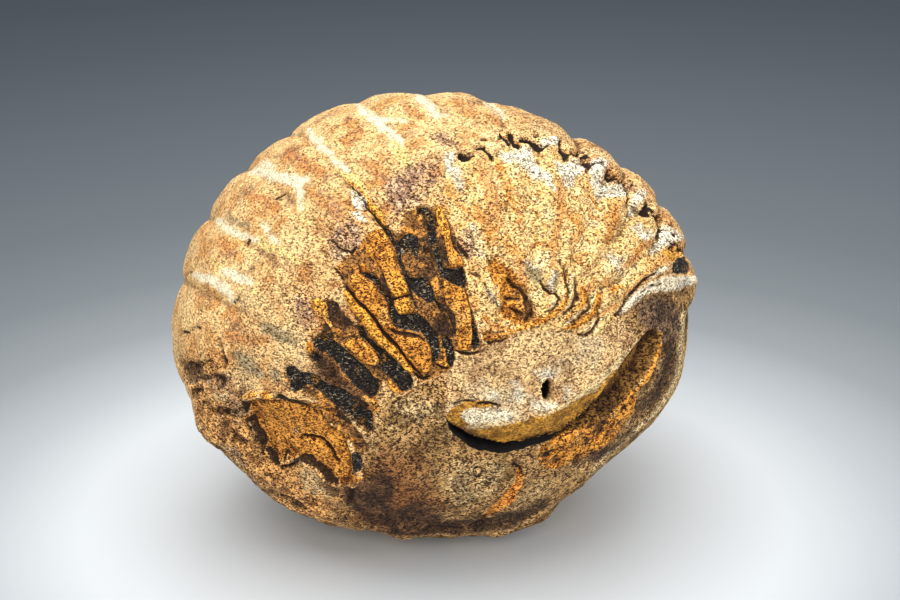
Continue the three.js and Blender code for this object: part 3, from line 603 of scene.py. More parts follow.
spoke_x, spoke_y = sheet_x - FAN_HUB[0], sheet_y - FAN_HUB[1]
spoke = np.hypot(spoke_x, spoke_y)
spoke_angle = np.degrees(np.arctan2(spoke_y, spoke_x))
in_fan = soft(patch(FAN), 0.3) * seen
sunken = ramp(spoke, 9, 20) * (1 - 0.65 * ramp(spoke_angle, 90, 114))
relief -= in_fan * FAN_DEPTH * sunken
rays_across = np.stack([spoke_angle / 5 + 0.3 * grain(skin, 3, 19, 1), spoke / 9, 0 * spoke], axis=1)
fan_ray = grain(rays_across, 1, 20, 2)
flutes = np.cos(np.radians(spoke_angle * 360 / FLUTE_ANGLE)) + fan_ray
relief += in_fan * (FLUTES * flutes * ramp(spoke, 5, 12) + FAN_GRIT * grain(skin, 0.7, 7, 2))
stain("fan", in_fan)
stain("ray", in_fan * ramp(fan_ray, -0.2, 0.9) * ramp(spoke, 4, 9))
# A painted shadow runs under the broken edge, in brown and a broken darker line.
ledge = brush([LEDGE])
relief -= seen * LEDGE_DROP * soft(ledge, 0.4)
stain("brown_and_ledge_shadow", seen * 0.75 * soft(ledge, 0.5))
stain("pit_shadow", seen * soft(ledge, 0.2) * ramp(grain(skin, 0.9, 22, 2), 0, 0.5))
# The pits left under the edge are painted dark as shade.
pits = brush(LEDGE_PITS)
relief -= seen * PIT_DEPTH * soft(pits, 0.3)
stain("pit_shadow", seen * soft(pits, 0.25))

# Chalky crust is left on the fan's upper part and along its right side.
CHALK = [
    [(1.2, 16.2), (2.1, 16.2), (2.3, 15.2), (3.3, 13.2), (3.3, 12.6), (2.6, 12.5), (1.9, 13.4), (1.3, 14.4),
     (1, 15.4)],
    [(6.3, 17.3), (7.1, 16.4), (8.1, 16.6), (9.1, 17.2), (10.1, 16.9), (10.4, 15.8), (11.1, 14.8),
     (11.9, 14), (12.3, 13), (12.4, 12.2), (11.8, 12.4), (11.2, 13.4), (10.2, 13.8), (9.3, 14.6),
     (8.4, 15.2), (7.4, 15.4), (6.6, 16.2)],
    [(10.6, 17.3), (11.4, 17.7), (12.4, 17.7), (12.6, 17), (11.7, 16.9), (10.9, 16.9)],
    [(11.9, 15.7), (13.1, 15.4), (14.4, 15.7), (15.1, 15.4), (15.4, 14.4), (14.6, 13.8), (14.4, 13),
     (13.2, 13.1), (12.6, 14.2)],
    [(15.8, 15.4), (16.9, 15.8), (17.5, 15.2), (17.1, 14.2), (17.6, 13.4), (18.8, 13.3), (19.4, 12.6),
     (19.5, 11.7), (18.6, 11.6), (17.2, 12), (16.3, 12.4), (15.7, 13.4)],
    [(19.8, 11.8), (20.6, 12.6), (21.2, 12.2), (21, 11.1), (20.7, 10.2), (20, 9.8), (19.7, 10.8)],
    [(19.9, 9), (20.7, 9.3), (21.4, 8.8), (22.4, 8.4), (22.6, 7.8), (21.6, 7.5), (20.6, 7.7)],
    [(22.6, 8.8), (23.4, 8.8), (24.4, 8.2), (25, 7.6), (24.2, 7.1), (23, 6.6), (22.2, 6), (21.6, 6.2),
     (22.3, 7.1)],
    [(-8.5, 12.4), (-7.9, 12.6), (-7, 11.7), (-6.5, 10.9), (-6.8, 10.2), (-7.8, 10.7), (-8.4, 11.5)],
    [(-8.2, 10.1), (-7.4, 10.3), (-6.8, 9.8), (-6.8, 9.1), (-7.6, 9.3)],
    [(3.6, 9.1), (4.1, 9.3), (4.5, 8.5), (4.4, 7.9), (3.9, 8.4)],
]
PALE_CHALK = [
    [(4.4, 14.2), (5.6, 14.9), (6.3, 14.4), (5.9, 13.8), (4.8, 13.6)],
    [(16.9, 6.2), (17.8, 6.8), (18.8, 6.4), (19.3, 5.2), (19, 4), (17.8, 3.8), (17, 4.8)],
    [(4.2, 6.8), (5, 7), (5.4, 5.6), (4.8, 5.2), (4.2, 5.6)],
]
CHALK_THICKNESS = 0.08
chalk = patch(*CHALK)
broken = 0.95 + 0.3 * grain(skin, 1.1, 23, 2)
stain("chalk", soft(chalk, 0.9) * seen * broken)
stain("chalk", 0.6 * soft(patch(*PALE_CHALK), 1.6) * seen * broken)
relief += CHALK_THICKNESS * soft(chalk, 0.6) * seen * (1 + grain(skin, 0.6, 14, 1))

# Low on the fan its layers curl round a golden hollow with painted shade on one side, in orange and
# pale ridges with grooves between them that are painted dark as shade.
FAN_STAINS = [
    [(6.6, 15.6, 0.3), (7, 14.2, 0.4), (7.8, 12.8, 0.5), (7.6, 11.8, 0.4)],
    [(2.8, 11.1, 0.4), (3.8, 10.2, 0.5), (5, 9.2, 0.6), (6.2, 8.6, 0.5)],
    [(5.4, 7.4, 0.5), (6.6, 7.4, 0.5), (7.8, 6.8, 0.4)],
    [(6.4, 5.2, 0.5), (7.4, 4.2, 0.7), (8.4, 2.6, 0.8), (9, 1.2, 0.8), (9.2, -0.2, 0.6), (7.8, -0.8, 0.6)],
    [(5.2, 5.2, 0.3), (5.6, 4.6, 0.3)],
    [(12.8, 10.8, 0.4), (13.8, 10.2, 0.5), (14.6, 8.8, 0.5), (14.2, 7.4, 0.4)],
    [(18.2, 10.8, 0.3), (17.8, 9.2, 0.35), (17.4, 7.4, 0.35)],
    [(21.6, 7.8, 0.25), (21, 6.8, 0.4), (20.2, 5.6, 0.4), (19.4, 4.8, 0.3)],
    [(13.8, 15.2, 0.3), (14.4, 14.2, 0.3), (15, 13, 0.3)],
    [(16.2, 11.8, 0.3), (16.8, 11, 0.3)],
    [(10, 6.8, 0.4), (11, 7, 0.4), (11.8, 6.6, 0.3)],
    [(5, -0.4, 0.5), (6.2, -1.4, 0.6), (7.6, -1.6, 0.5), (9, -1.4, 0.4)],
    [(17, 3.4, 0.4), (17.8, 2.4, 0.4), (18.8, 2.8, 0.3)],
    [(12.6, 5.2, 0.3), (12.8, 3.8, 0.3), (13.2, 2.2, 0.3), (12.6, 0.8, 0.3)],
    [(14.6, 3, 0.3), (15, 1.6, 0.4), (14.4, 0.2, 0.3)],
    [(2.1, 12.4, 0.4), (2.8, 11.4, 0.4)],
    [(8.2, 11.4, 0.3), (8.6, 10, 0.3), (8.2, 8.6, 0.3)],
]
SWIRL_HOLLOW = [(6.2, 5.6), (7.2, 5), (8, 4.2), (8.8, 3.2), (9.5, 2.2), (10.1, 1.2), (10.4, 0.2),
                (10.2, -0.7), (9.4, -1.1), (8.2, -1.2), (7.2, -0.8), (6.6, 0.2), (6.8, 1.4), (6.4, 2.6),
                (5.6, 3.6), (5.2, 4.6), (5.4, 5.4)]
SWIRL_SHADE = [
    [(7.7, 3.5, 0.15), (8.4, 2.8, 0.25), (9, 2.2, 0.3), (9.5, 1.5, 0.35), (9.8, 0.7, 0.45), (9.8, 0, 0.45),
     (9.5, -0.5, 0.3)],
    [(7.4, 1.5, 0.1), (8, 1.5, 0.15), (8.7, 1.4, 0.12)],
    [(7.8, 0.5, 0.1), (8.4, 0.2, 0.2), (9.1, -0.1, 0.25)],
]
SWIRL_OCHRE = [
    [(12.8, 4.6, 0.15), (13, 3.8, 0.25), (13.2, 3, 0.2), (13.4, 2.1, 0.2), (13.2, 1.4, 0.2),
     (12.6, 0.6, 0.25), (11.9, 0, 0.3), (11.1, -0.5, 0.35), (9.3, -1.3, 0.25), (8.5, -1.6, 0.2)],
    [(14.8, 2.6, 0.25), (14.9, 1.9, 0.35), (14.8, 1.2, 0.3), (14.3, 0.6, 0.2), (13.7, 0, 0.2),
     (13.1, -0.5, 0.2)],
    [(16.5, 2.1, 0.2), (16.3, 1.2, 0.4), (16, 0.4, 0.35), (15.4, -0.3, 0.3), (14.6, -0.8, 0.3),
     (13.8, -1.2, 0.3), (12.9, -1.5, 0.2)],
    [(5.2, -2.4, 0.3), (6, -2.4, 0.3), (6.9, -2.1, 0.25), (7.8, -1.7, 0.2)],
    [(17.8, 2.3, 0.15), (18.4, 2.7, 0.2), (19, 3, 0.1)],
]
SWIRL_PALE = [
    [(11.8, 4.6, 0.25), (11.8, 3.8, 0.35), (11.6, 3, 0.35), (11.9, 2.3, 0.2)],
    [(11.9, 1.1, 0.25), (11.7, 0.6, 0.25)],
    [(13.9, 3.8, 0.25), (13.6, 3.1, 0.2)],
    [(14.5, 0.2, 0.2), (13.9, -0.4, 0.25), (13.2, -0.9, 0.2)],
    [(16.4, -0.3, 0.12), (15.7, -1.1, 0.18), (14.8, -1.5, 0.18)],
    [(5.4, 2.6, 0.2), (6, 1.7, 0.25), (6.6, 0.8, 0.25)],
    [(9.2, 5.2, 0.3), (10, 4.6, 0.3)],
]
SWIRL_GROOVES = [
    [(12.6, 5.4, 0.1), (13.1, 3.9, 0.1), (13.4, 2.6, 0.15), (13.5, 1.7, 0.12)],
    [(10.7, 3.3, 0.1), (11.1, 2.6, 0.15), (11.7, 2.1, 0.15), (12.3, 2.1, 0.1), (12.7, 1.5, 0.12),
     (12.2, 0.7, 0.12), (11.6, 0.2, 0.12)],
    [(14.2, 3.6, 0.08), (14.3, 2.6, 0.1), (14.3, 1.7, 0.15), (14.1, 0.9, 0.15), (13.6, 0.4, 0.12),
     (13, 0, 0.1)],
    [(15.4, 1.6, 0.08), (15.6, 0.8, 0.1), (15, 0, 0.1), (14.3, -0.6, 0.12), (13.6, -0.9, 0.1)],
    [(16.2, 0.6, 0.1), (16.6, -0.4, 0.12), (16.3, -1.2, 0.15), (15.8, -1.8, 0.18), (15.2, -2, 0.15),
     (14.5, -2, 0.1)],
    [(5.2, 3, 0.08), (5.6, 2.2, 0.1), (6.3, 1.4, 0.1)],
    [(3.6, 4.2, 0.1), (4.1, 3.9, 0.12), (4.6, 3.8, 0.08)],
]
OCHRE_CURL, PALE_CURL, CURL_GROOVE = 0.3, 0.18, 0.4
SWIRL_DEPTH, SWIRL_SHADE_DEPTH = 0.35, 0.5
stain("stained", soft(brush(FAN_STAINS), 1.2) * seen)
ochre_curls = brush(SWIRL_OCHRE)
pale_curls = soft(brush(SWIRL_PALE), 0.5) * seen
curl_grooves = soft(brush(SWIRL_GROOVES), 0.4) * seen
swirl_hollow = soft(patch(SWIRL_HOLLOW), 1.0) * seen
swirl_shade = soft(brush(SWIRL_SHADE), 0.5) * seen
relief += OCHRE_CURL * soft(ochre_curls, 0.5) * seen + PALE_CURL * pale_curls
relief -= CURL_GROOVE * curl_grooves + SWIRL_SHADE_DEPTH * swirl_shade
relief -= SWIRL_DEPTH * swirl_hollow * (1 + grain(skin, 0.8, 25, 2))
stain("ochre", 0.9 * swirl_hollow * ramp(grain(skin, 0.8, 26, 2), -1.1, -0.2))
stain("umber_and_painted_shade", 0.6 * swirl_hollow * ramp(grain(skin, 1.2, 34, 2), 0.1, 0.7))
# Painted shade on one side of the hollow.
stain("umber_and_painted_shade", swirl_shade)
stain("ochre", 0.9 * soft(ochre_curls, 0.45) * seen)
stain("chalk", 0.7 * pale_curls)
# Painted shade in the grooves between the curls.
stain("umber_and_painted_shade", curl_grooves)

# ---- The bars and hollows ----
# The worn flank shows its ribs' cut ends as ochre bars that run in to the hub, parted by splits,
# with hollows between them where softer stone has gone and left a black crust.
CRUST = [
    [(-1.7, 10.6), (-0.6, 10.8), (-0.1, 10.2), (0.1, 9.2), (0.3, 7.8), (0.7, 5.4), (1.2, 4.7), (2.2, 4.7),
     (3, 5), (3.2, 3.9), (3.2, 2.9), (2.6, 2.7), (1.7, 3.3), (0.8, 3.7), (0.3, 4.8), (-0.1, 6), (-0.4, 7),
     (-0.8, 9.4), (-1.2, 10.1), (-1.8, 10.1)],
    [(-3.7, 7.1), (-3, 8), (-2.2, 8.2), (-1.5, 7.7), (-1.4, 6.7), (-1.7, 5.7), (-2.4, 6.4), (-3.2, 6),
     (-3.8, 6.2)],
    [(-3.2, 4.6), (-2.7, 4.4), (-2.3, 3.7), (-1.2, 3.7), (-0.4, 3.2), (0.1, 2.4), (0.3, 1.4), (-0.4, 1.1),
     (-1, 1.5), (-1.8, 1.9), (-2.3, 2.6), (-2.8, 3.5)],
    [(-4.3, 1.5), (-3.8, 1.7), (-4, 1.1), (-3.5, 0.1), (-2.7, -0.1), (-1.9, 0.2), (-1.3, 0), (-0.7, -0.7),
     (-0.2, -1.3), (0.3, -2), (0.6, -3.2), (0.6, -4.2), (0.4, -4.9), (0, -5.3), (-0.2, -4.7), (-0.2, -3.7),
     (-0.5, -2.8), (-1.2, -1.9), (-2.3, -1.7), (-3.2, -1.7), (-3.9, -1.2), (-4.3, -0.4), (-4.5, 0.5)],
    [(0.7, -2.3), (1.2, -2.2), (1.8, -2.7), (2.1, -3.6), (2.2, -4.6), (1.9, -5.4), (1.5, -5.4), (1.3, -4.6),
     (1, -3.8), (0.8, -3.1)],
    [(3.8, 0), (4.1, -0.4), (4.3, -1.3), (4.5, -2.3), (4.7, -3.2), (4.1, -3.6), (3.7, -3), (3.9, -2.2),
     (3.8, -1.1)],
    [(-7.8, -1.3), (-7.1, -1.3), (-6.6, -2.1), (-6, -2.8), (-5.4, -3.3), (-4.7, -3.9), (-3.9, -4.5),
     (-2.4, -6), (-2.1, -6.8), (-2.3, -7.6), (-2.9, -7.8), (-3.6, -7.5), (-4.3, -6.7), (-5, -5.8),
     (-5.4, -4.9), (-5.3, -4.3), (-5.9, -3.6), (-6.6, -2.7), (-7.5, -2.2)],
    [(-12.1, -2.5), (-11.5, -2.1), (-10.7, -2.2), (-9.9, -2.7), (-9.2, -3.3), (-8.5, -4), (-7.7, -4.6),
     (-7, -5.1), (-5.6, -6.7), (-5.5, -7.5), (-5.7, -8.2), (-6.3, -8.3), (-7, -7.9), (-8.4, -6.9),
     (-8.9, -6.2), (-9.4, -5.3), (-10, -4.6), (-10.6, -4), (-11.3, -3.8), (-11.9, -3.6), (-12.2, -3.1)],
    [(-12.4, -4.2), (-12, -3.9), (-11.4, -4.3), (-11.5, -4.8), (-12.1, -4.8)],
    [(-15, -5.6), (-14.6, -5.2), (-14, -5.3), (-13.4, -5.8), (-11.8, -6.2), (-11.3, -6.6), (-10.6, -7),
     (-10, -7.3), (-9.3, -7.6), (-8.6, -8), (-7.4, -9), (-6.8, -9.6), (-6.2, -9.9), (-6, -10.8),
     (-6.1, -11.6), (-6.5, -11.9), (-7, -11.3), (-7.7, -10.7), (-8.5, -10.3), (-9.3, -9.7), (-10.7, -8.5),
     (-11.4, -7.8), (-12.1, -7.4), (-12.8, -7.1), (-13.3, -7.6), (-14, -7.9), (-14.6, -7.5), (-14.5, -6.7),
     (-14.9, -6.2)],
    [(-10.7, 1.2), (-10.1, 1.4), (-9.6, 1), (-9.7, 0.6), (-10.3, 0.8)],
]
CRUST_LINES = [
    [(-4.3, 1.4, 0.25), (-4.9, 2.1, 0.2), (-5.5, 2.9, 0.2), (-6.1, 3.6, 0.25), (-6.8, 4.1, 0.25),
     (-7.3, 4.3, 0.1)],
    [(3, 2.8, 0.1), (3, 2.1, 0.1), (3.3, 1.3, 0.1), (3.7, 0.4, 0.15), (3.9, -0.4, 0.15)],
    [(-5.4, -5, 0.15), (-4.8, -5.9, 0.15), (-4.1, -6.8, 0.1)],
    [(-4.7, 8.8, 0.15), (-4.2, 7.6, 0.2), (-3.7, 6.4, 0.2), (-3.3, 5.1, 0.15), (-2.9, 4.2, 0.15),
     (-2.5, 3, 0.12), (-2.2, 1.9, 0.12), (-1.8, 0.7, 0.1)],
    [(0.2, 1.5, 0.1), (0.7, 0.7, 0.15), (1.3, 0, 0.12), (1.6, -1.1, 0.12), (1.8, -2.2, 0.12)],
]
BARS = [
    [(-9, 14.2), (-8.4, 13.6), (-7.7, 12.8), (-7, 12.2), (-6.3, 11.4), (-5.7, 10.6), (-5.1, 9.9),
     (-4.7, 9.1), (-5, 8.8), (-5.7, 9.4), (-6.3, 10.2), (-6.8, 11.1), (-7.4, 11.9), (-8.2, 12.8),
     (-8.9, 13.6)],
    [(-6.3, 8.1), (-5.6, 8.6), (-4.8, 8.2), (-4.4, 7.2), (-4.1, 6.2), (-3.9, 5.2), (-3.4, 4.2), (-2.8, 3.3),
     (-2.5, 2.4), (-2.6, 1.9), (-3.4, 1.6), (-4.1, 2), (-4.6, 3), (-5, 3.9), (-5.5, 4.8), (-5.8, 5.8),
     (-6.2, 6.8), (-6.6, 7.4)],
    [(-7, 7.4), (-6.5, 7.3), (-6.1, 6.5), (-5.9, 5.5), (-6.3, 5.4), (-6.7, 6), (-7.1, 6.7)],
    [(-7.3, 5.1), (-6.8, 5), (-6.7, 4.3), (-7.2, 4.3)],
    [(-4, 1.5), (-3.5, 1.7), (-2.9, 1.8), (-2.5, 1.5), (-2.3, 0.8), (-2.1, 0.3), (-2.7, 0), (-3.3, -0.1),
     (-3.7, 0.5)],
    [(-8.5, 3.8), (-7.7, 4.2), (-7.1, 3.9), (-6.4, 3.2), (-5.8, 2.5), (-5.2, 1.9), (-4.6, 1), (-4.5, 0),
     (-4.2, -0.8), (-3.7, -1.6), (-3, -2), (-2.1, -2), (-1.2, -2.3), (-0.6, -2.9), (-0.3, -3.8),
     (-0.3, -4.8), (-0.4, -5.7), (-0.9, -6), (-1.6, -5.4), (-2.3, -4.7), (-3, -3.9), (-3.8, -3), (-6.2, 0),
     (-7, 0.8), (-7.8, 1.7), (-8.3, 2.6)],
    [(-9, 2.6), (-8.5, 2.3), (-7.9, 1.4), (-6.3, -0.4), (-4.7, -2.4), (-3.1, -4.2), (-2.3, -5.2),
     (-1.7, -6), (-2.2, -5.9), (-3, -5.4), (-5.5, -2.9), (-6.4, -1.9), (-8, 0.1), (-8.7, 1.3), (-9.1, 2.1)],
    [(0.3, 10.6), (0.7, 10.9), (1.1, 10.5), (1.2, 9.6), (1.4, 8.7), (1.6, 7.7), (1.9, 6.8), (2.9, 5.4),
     (3, 5), (2.3, 4.8), (1.7, 4.7), (1.4, 5.6), (1.2, 6.6), (0.3, 9.6)],
    [(1, 3.5), (1.7, 3.3), (2.4, 2.8), (3, 2.4), (3.3, 1.4), (3.7, 0.4), (3.9, -2), (3.8, -2.9),
     (3.5, -3.6), (2.8, -3.6), (2.3, -3.1), (2.2, -2.1), (2.2, -1.1), (2, -0.1), (1.6, 0.5), (1.2, 1.3),
     (0.9, 2.3)],
    [(-12.1, 1.2), (-11.8, 1.6), (-11.3, 1.6), (-10.9, 1.1), (-10.7, 0.3), (-10.6, -0.3), (-10.9, -0.5),
     (-11.4, -0.4), (-11.8, -0.2), (-12, 0.5)],
    [(-12.7, -2.7), (-12.3, -2.9), (-12.1, -3.7), (-12.4, -4.2), (-12.7, -3.6)],
    [(-8.9, -3), (-8.4, -2.5), (-7.7, -2.6), (-7, -2.8), (-6.3, -3.3), (-5.7, -4.2), (-5.4, -4.8),
     (-6, -5.1), (-6.7, -4.9), (-7.4, -4.4), (-8.2, -3.8)],
    [(-4.9, -6.7), (-4.3, -6.6), (-3.2, -7.7), (-3.8, -7.9), (-4.5, -7.5)],
    [(0.2, -5), (0.7, -4.7), (1.3, -4.8), (1.6, -5.2), (1.2, -5.5), (0.6, -5.4)],
    [(-7.7, -8.2), (-7, -8), (-6.4, -8.4), (-5.7, -8.6), (-5.7, -9.4), (-6.2, -9.2)],
]
# The brightest of them, and a golden scrap at the fan's right end.
GOLD = [
    [(23, 6.2), (23.8, 6.8), (24.6, 6.8), (24.9, 6), (24.2, 5.2), (23.4, 5.2)],
    BARS[0],
    BARS[4],
    [(0.3, 10.6), (0.7, 10.9), (1.1, 10.5), (1.2, 9.6), (1.4, 8.7), (1.6, 7.7), (1.3, 7.3), (0.9, 7.6),
     (0.6, 8.6), (0.3, 9.6)],
    BARS[6],
    [(-4.1, 4.2), (-3.4, 4.2), (-2.8, 3.3), (-2.5, 2.4), (-2.8, 1.8), (-3.8, 2), (-4.2, 3)],
    [(-12.1, 1.2), (-11.8, 1.6), (-11.3, 1.6), (-10.9, 1.1), (-10.8, 0.5), (-11.4, 0.2), (-12, 0.6)],
]
BAR_FIELD = [(-8.8, 13.4), (-7.2, 12.4), (-4.6, 9.2), (-3.6, 7.8), (-3, 10.2), (-1.8, 10.8), (0.8, 11),
             (1.6, 9.4), (2.8, 6.2), (3.3, 4.6), (3.4, 2.4), (4.2, -0.4), (4.8, -3.2), (3.8, -3.9),
             (2.1, -3.9), (1.8, -5.6), (0.2, -6.6), (-1, -6.8), (-2.1, -6.4), (-2.1, -7.8), (-3.2, -8),
             (-5, -6.8), (-5.4, -8.4), (-5.8, -11.8), (-6.6, -12), (-8.4, -10.6), (-9.8, -9.8),
             (-13.4, -7.8), (-15, -6.8), (-15.1, -5.6), (-13.4, -5.7), (-12, -6.1), (-11.2, -7),
             (-10.4, -7), (-11.4, -5.2), (-12.6, -4.4), (-12.6, -2.8), (-11.6, -2), (-11, -0.8),
             (-12.2, 0.2), (-12.1, 1.4), (-10.8, 1.6), (-9.6, 1.2), (-8.6, -0.2), (-7.6, -1.4), (-8.2, 0.2),
             (-9, 1.8), (-9.2, 3.4), (-9.8, 4.6), (-8.2, 6.2), (-7.2, 7.4), (-6.6, 8.2), (-5.4, 8.6),
             (-6.2, 10), (-7.4, 11.8)]
BAR_STREAKS = [
    [(-10.9, -0.4, 0.15), (-10.4, -1.1, 0.18), (-10, -1.6, 0.2), (-9.6, -1.9, 0.1)],
    [(1, -3.6, 0.12), (1.1, -4.6, 0.12)],
]
SPLITS = [
    [(-8.8, 2.8, 0.1), (-8.2, 2.1, 0.1), (-7.7, 1.4, 0.1), (-6.9, 0.6, 0.12), (-5.3, -1.2, 0.12),
     (-4.6, -2.1, 0.12), (-4, -2.8, 0.12), (-3.3, -3.7, 0.12), (-2.6, -4.5, 0.1), (-1.9, -5.4, 0.1),
     (-1.2, -6.2, 0.08)],
    [(-8.2, 12.7, 0.1), (-7.3, 11.8, 0.12), (-6.7, 10.9, 0.12), (-6.2, 10.1, 0.12), (-5.6, 9.3, 0.15),
     (-5, 8.8, 0.15), (-4.6, 8, 0.12)],
    [(-10.3, 7.4, 0.08), (-8.7, 6.2, 0.12), (-8.2, 6.1, 0.12), (-7.8, 6.7, 0.1)],
    [(-9.9, 4.7, 0.1), (-9.6, 4.1, 0.12), (-9.2, 3.5, 0.1)],
    [(-4.2, -1.6, 0.12), (-3.6, -2, 0.18), (-2.6, -2.1, 0.2), (-1.6, -2.2, 0.15), (-1, -2.6, 0.1)],
    [(-4, 1.6, 0.1), (-3.3, 1.7, 0.1), (-2.5, 1.8, 0.15)],
    [(-2, -5.8, 0.1), (-1.6, -6.3, 0.15), (-1, -6.5, 0.15), (-0.4, -6.3, 0.1)],
    [(2.2, -3.7, 0.08), (2.8, -3.9, 0.12), (3.6, -4, 0.15), (4.6, -3.8, 0.1)],
    [(0.3, -5.2, 0.1), (0.8, -5.4, 0.15), (1.4, -5.5, 0.12)],
    [(-25.3, -1.9, 0.08), (-24.6, -1.7, 0.1), (-24.1, -1.4, 0.12), (-23.5, -1.4, 0.08)],
    [(-21.4, -2.6, 0.06), (-21.2, -3.6, 0.1), (-21.1, -4.6, 0.15), (-21.2, -5.2, 0.1)],
    [(-25.1, 3.6, 0.06), (-24.6, 4.1, 0.1), (-24.1, 4.4, 0.06)],
    [(-15.9, 11.6, 0.08), (-15.2, 12, 0.1), (-14.6, 12.3, 0.06)],
    [(-18.9, 6.8, 0.1), (-18.4, 7.3, 0.08)],
    [(-20, 1.1, 0.08), (-19.6, 1.7, 0.1)],
    [(-0.5, -21.5, 0.1), (1.9, -21.4, 0.12), (4.2, -21, 0.08)],
]
ROUGH_BROWN = [
    [(-12, -3.8), (-11.2, -4), (-10.4, -4.4), (-9.7, -5.2), (-9.2, -6.1), (-8.6, -7), (-7.6, -7.7),
     (-8.4, -7.9), (-9.4, -7.4), (-10.4, -7), (-11, -6.2), (-11.6, -5.2)],
    [(-4.4, 8.2), (-3.2, 8), (-1.4, 7), (-0.2, 6.2), (0.4, 5), (1, 3.6), (0.6, 3), (-0.9, 3.8), (-2.3, 3.7),
     (-3.2, 4.7), (-3.9, 5.6), (-4.4, 6.9)],
    [(-2.5, 3.1), (-1.4, 1.6), (0.3, 1.2), (1.2, 0.2), (1.6, -1.1), (1.8, -2.3), (0.7, -2.3), (0.2, -1.2),
     (-0.6, -0.4), (-1.5, 0.6), (-2.2, 1.4)],
    [(-10.8, 0.8), (-9.6, 0.6), (-7.8, -1.2), (-7.2, -2), (-6.4, -2.6), (-8.2, -2.4), (-9, -3),
     (-9.8, -2.4), (-10.3, -1.4), (-10.7, -0.4)],
    [(-9.6, 4.6), (-8.4, 5.8), (-7.2, 5.2), (-6.4, 4.2), (-5.6, 3), (-6.2, 3.6), (-7.4, 4.4), (-8.4, 4),
     (-9.1, 3.2)],
    [(-22.3, -9.4), (-21.4, -9.1), (-20.5, -9.4), (-20.6, -10.1), (-21.4, -10.1), (-22.1, -9.8)],
    [(-15.2, -8.4), (-13.4, -8.6), (-12.5, -8.9), (-11.2, -8.8), (-10.1, -9.2), (-9.2, -9.9), (-8.4, -10.8),
     (-7.4, -12), (-6.7, -13.2), (-7, -14.2), (-7.8, -13.8), (-8.4, -12.6), (-9.3, -11.8), (-9.9, -11.2),
     (-10.8, -10.4), (-12.2, -9.8), (-13.8, -9.1)],
    [(4.8, -1.8), (5.8, -1.6), (6.9, -1.9), (7.3, -2.4), (6.6, -2.8), (5.6, -3.1), (5, -2.7)],
    [(-2.8, 10.2), (-2, 10.6), (-1.6, 9.8), (-1.5, 8.6), (-2, 8.2), (-2.7, 8.8)],
    [(2.3, 7.6), (2.9, 6.6), (3.6, 5.8), (3.4, 5.6), (2.7, 6.2), (2.3, 6.9)],
]
BAR_HEIGHT, SPLIT_DEPTH = 0.28, 0.4
CRUST_DEPTH, CRUST_GRAIN = 0.5, 0.14
BROWN_DEPTH, BROWN_GRAIN = 0.15, 0.2
FIELD_GRAIN = 0.07
bars = np.minimum(patch(*BARS), brush(BAR_STREAKS))
crust = np.minimum(patch(*CRUST), brush(CRUST_LINES))
on_bars = soft(bars, 0.3) * seen
in_crust = soft(crust, 0.3) * seen * (1 - on_bars)
in_rough = soft(patch(*ROUGH_BROWN), 0.5) * seen * (1 - on_bars)
in_field = soft(patch(BAR_FIELD), 0.9) * seen
in_splits = soft(brush(SPLITS), 0.25) * seen
relief += BAR_HEIGHT * ramp(-bars, -0.05, 0.15) * seen
relief += in_field * FIELD_GRAIN * grain(skin, 0.6, 15, 2)
relief -= in_crust * (CRUST_DEPTH + CRUST_GRAIN * grain(skin, 0.6, 8, 2))
relief -= in_rough * (BROWN_DEPTH + BROWN_GRAIN * grain(skin, 0.9, 16, 2)) * (1 - in_crust)
relief -= SPLIT_DEPTH * in_splits
stain("ochre", on_bars)
stain("black", in_crust)
# Painted shade in the splits.
stain("groove_shade", in_splits)
stain("brown_and_ledge_shadow", np.maximum(in_rough, 0.75 * in_field))
stain("gold", soft(patch(*GOLD), 0.4) * seen)

# Grey grit and mauve stains lie in broad patches over the shell.
GREY_GRIT = [
    [(-1.8, 10.1), (-1, 9.8), (-0.4, 7.4), (-0.3, 6.6), (-1, 6.5), (-1.5, 7), (-1.4, 8.2), (-1.6, 9.2),
     (-1.9, 9.5)],
    [(0.7, 7), (1.2, 6.8), (1.5, 5.8), (1.7, 4.8), (1.2, 4.8), (0.8, 5.6)],
    [(-20.2, -3.8), (-19.4, -3.6), (-18.5, -4.2), (-17.8, -5), (-17, -5.8), (-17, -6.5), (-18, -6.3),
     (-18.9, -5.7), (-19.6, -5)],
    [(-16.6, -5.4), (-15.6, -5.6), (-15.4, -6.6), (-16.2, -6.8)],
    [(-21.2, 9.7), (-20.2, 9.6), (-19, 9.2), (-18.2, 9), (-18.4, 8.4), (-19.4, 8.7), (-20.4, 9.1)],
    [(-11.8, -7.8), (-10.9, -8), (-10, -8.7), (-9.6, -9.4), (-10.4, -9), (-11.3, -8.4)],
    [(-17.2, -0.8), (-15.6, -1.2), (-14.2, -2), (-13.6, -3), (-14.8, -3), (-16.2, -2.4), (-17.6, -1.6)],
    [(8.8, 5.2), (9.9, 5), (10.8, 4.4), (10.9, 3.3), (10, 2.9), (9.1, 3.9)],
    [(11.1, 3.1), (11.6, 3.7), (12.2, 4.6), (12.6, 4), (12.4, 3.1), (12, 2.3), (11.3, 2.5)],
    [(5, 2.9), (5.6, 2.4), (6.2, 1.4), (6.9, 0.6), (6.6, 0.3), (5.8, 1), (5.3, 1.9)],
]
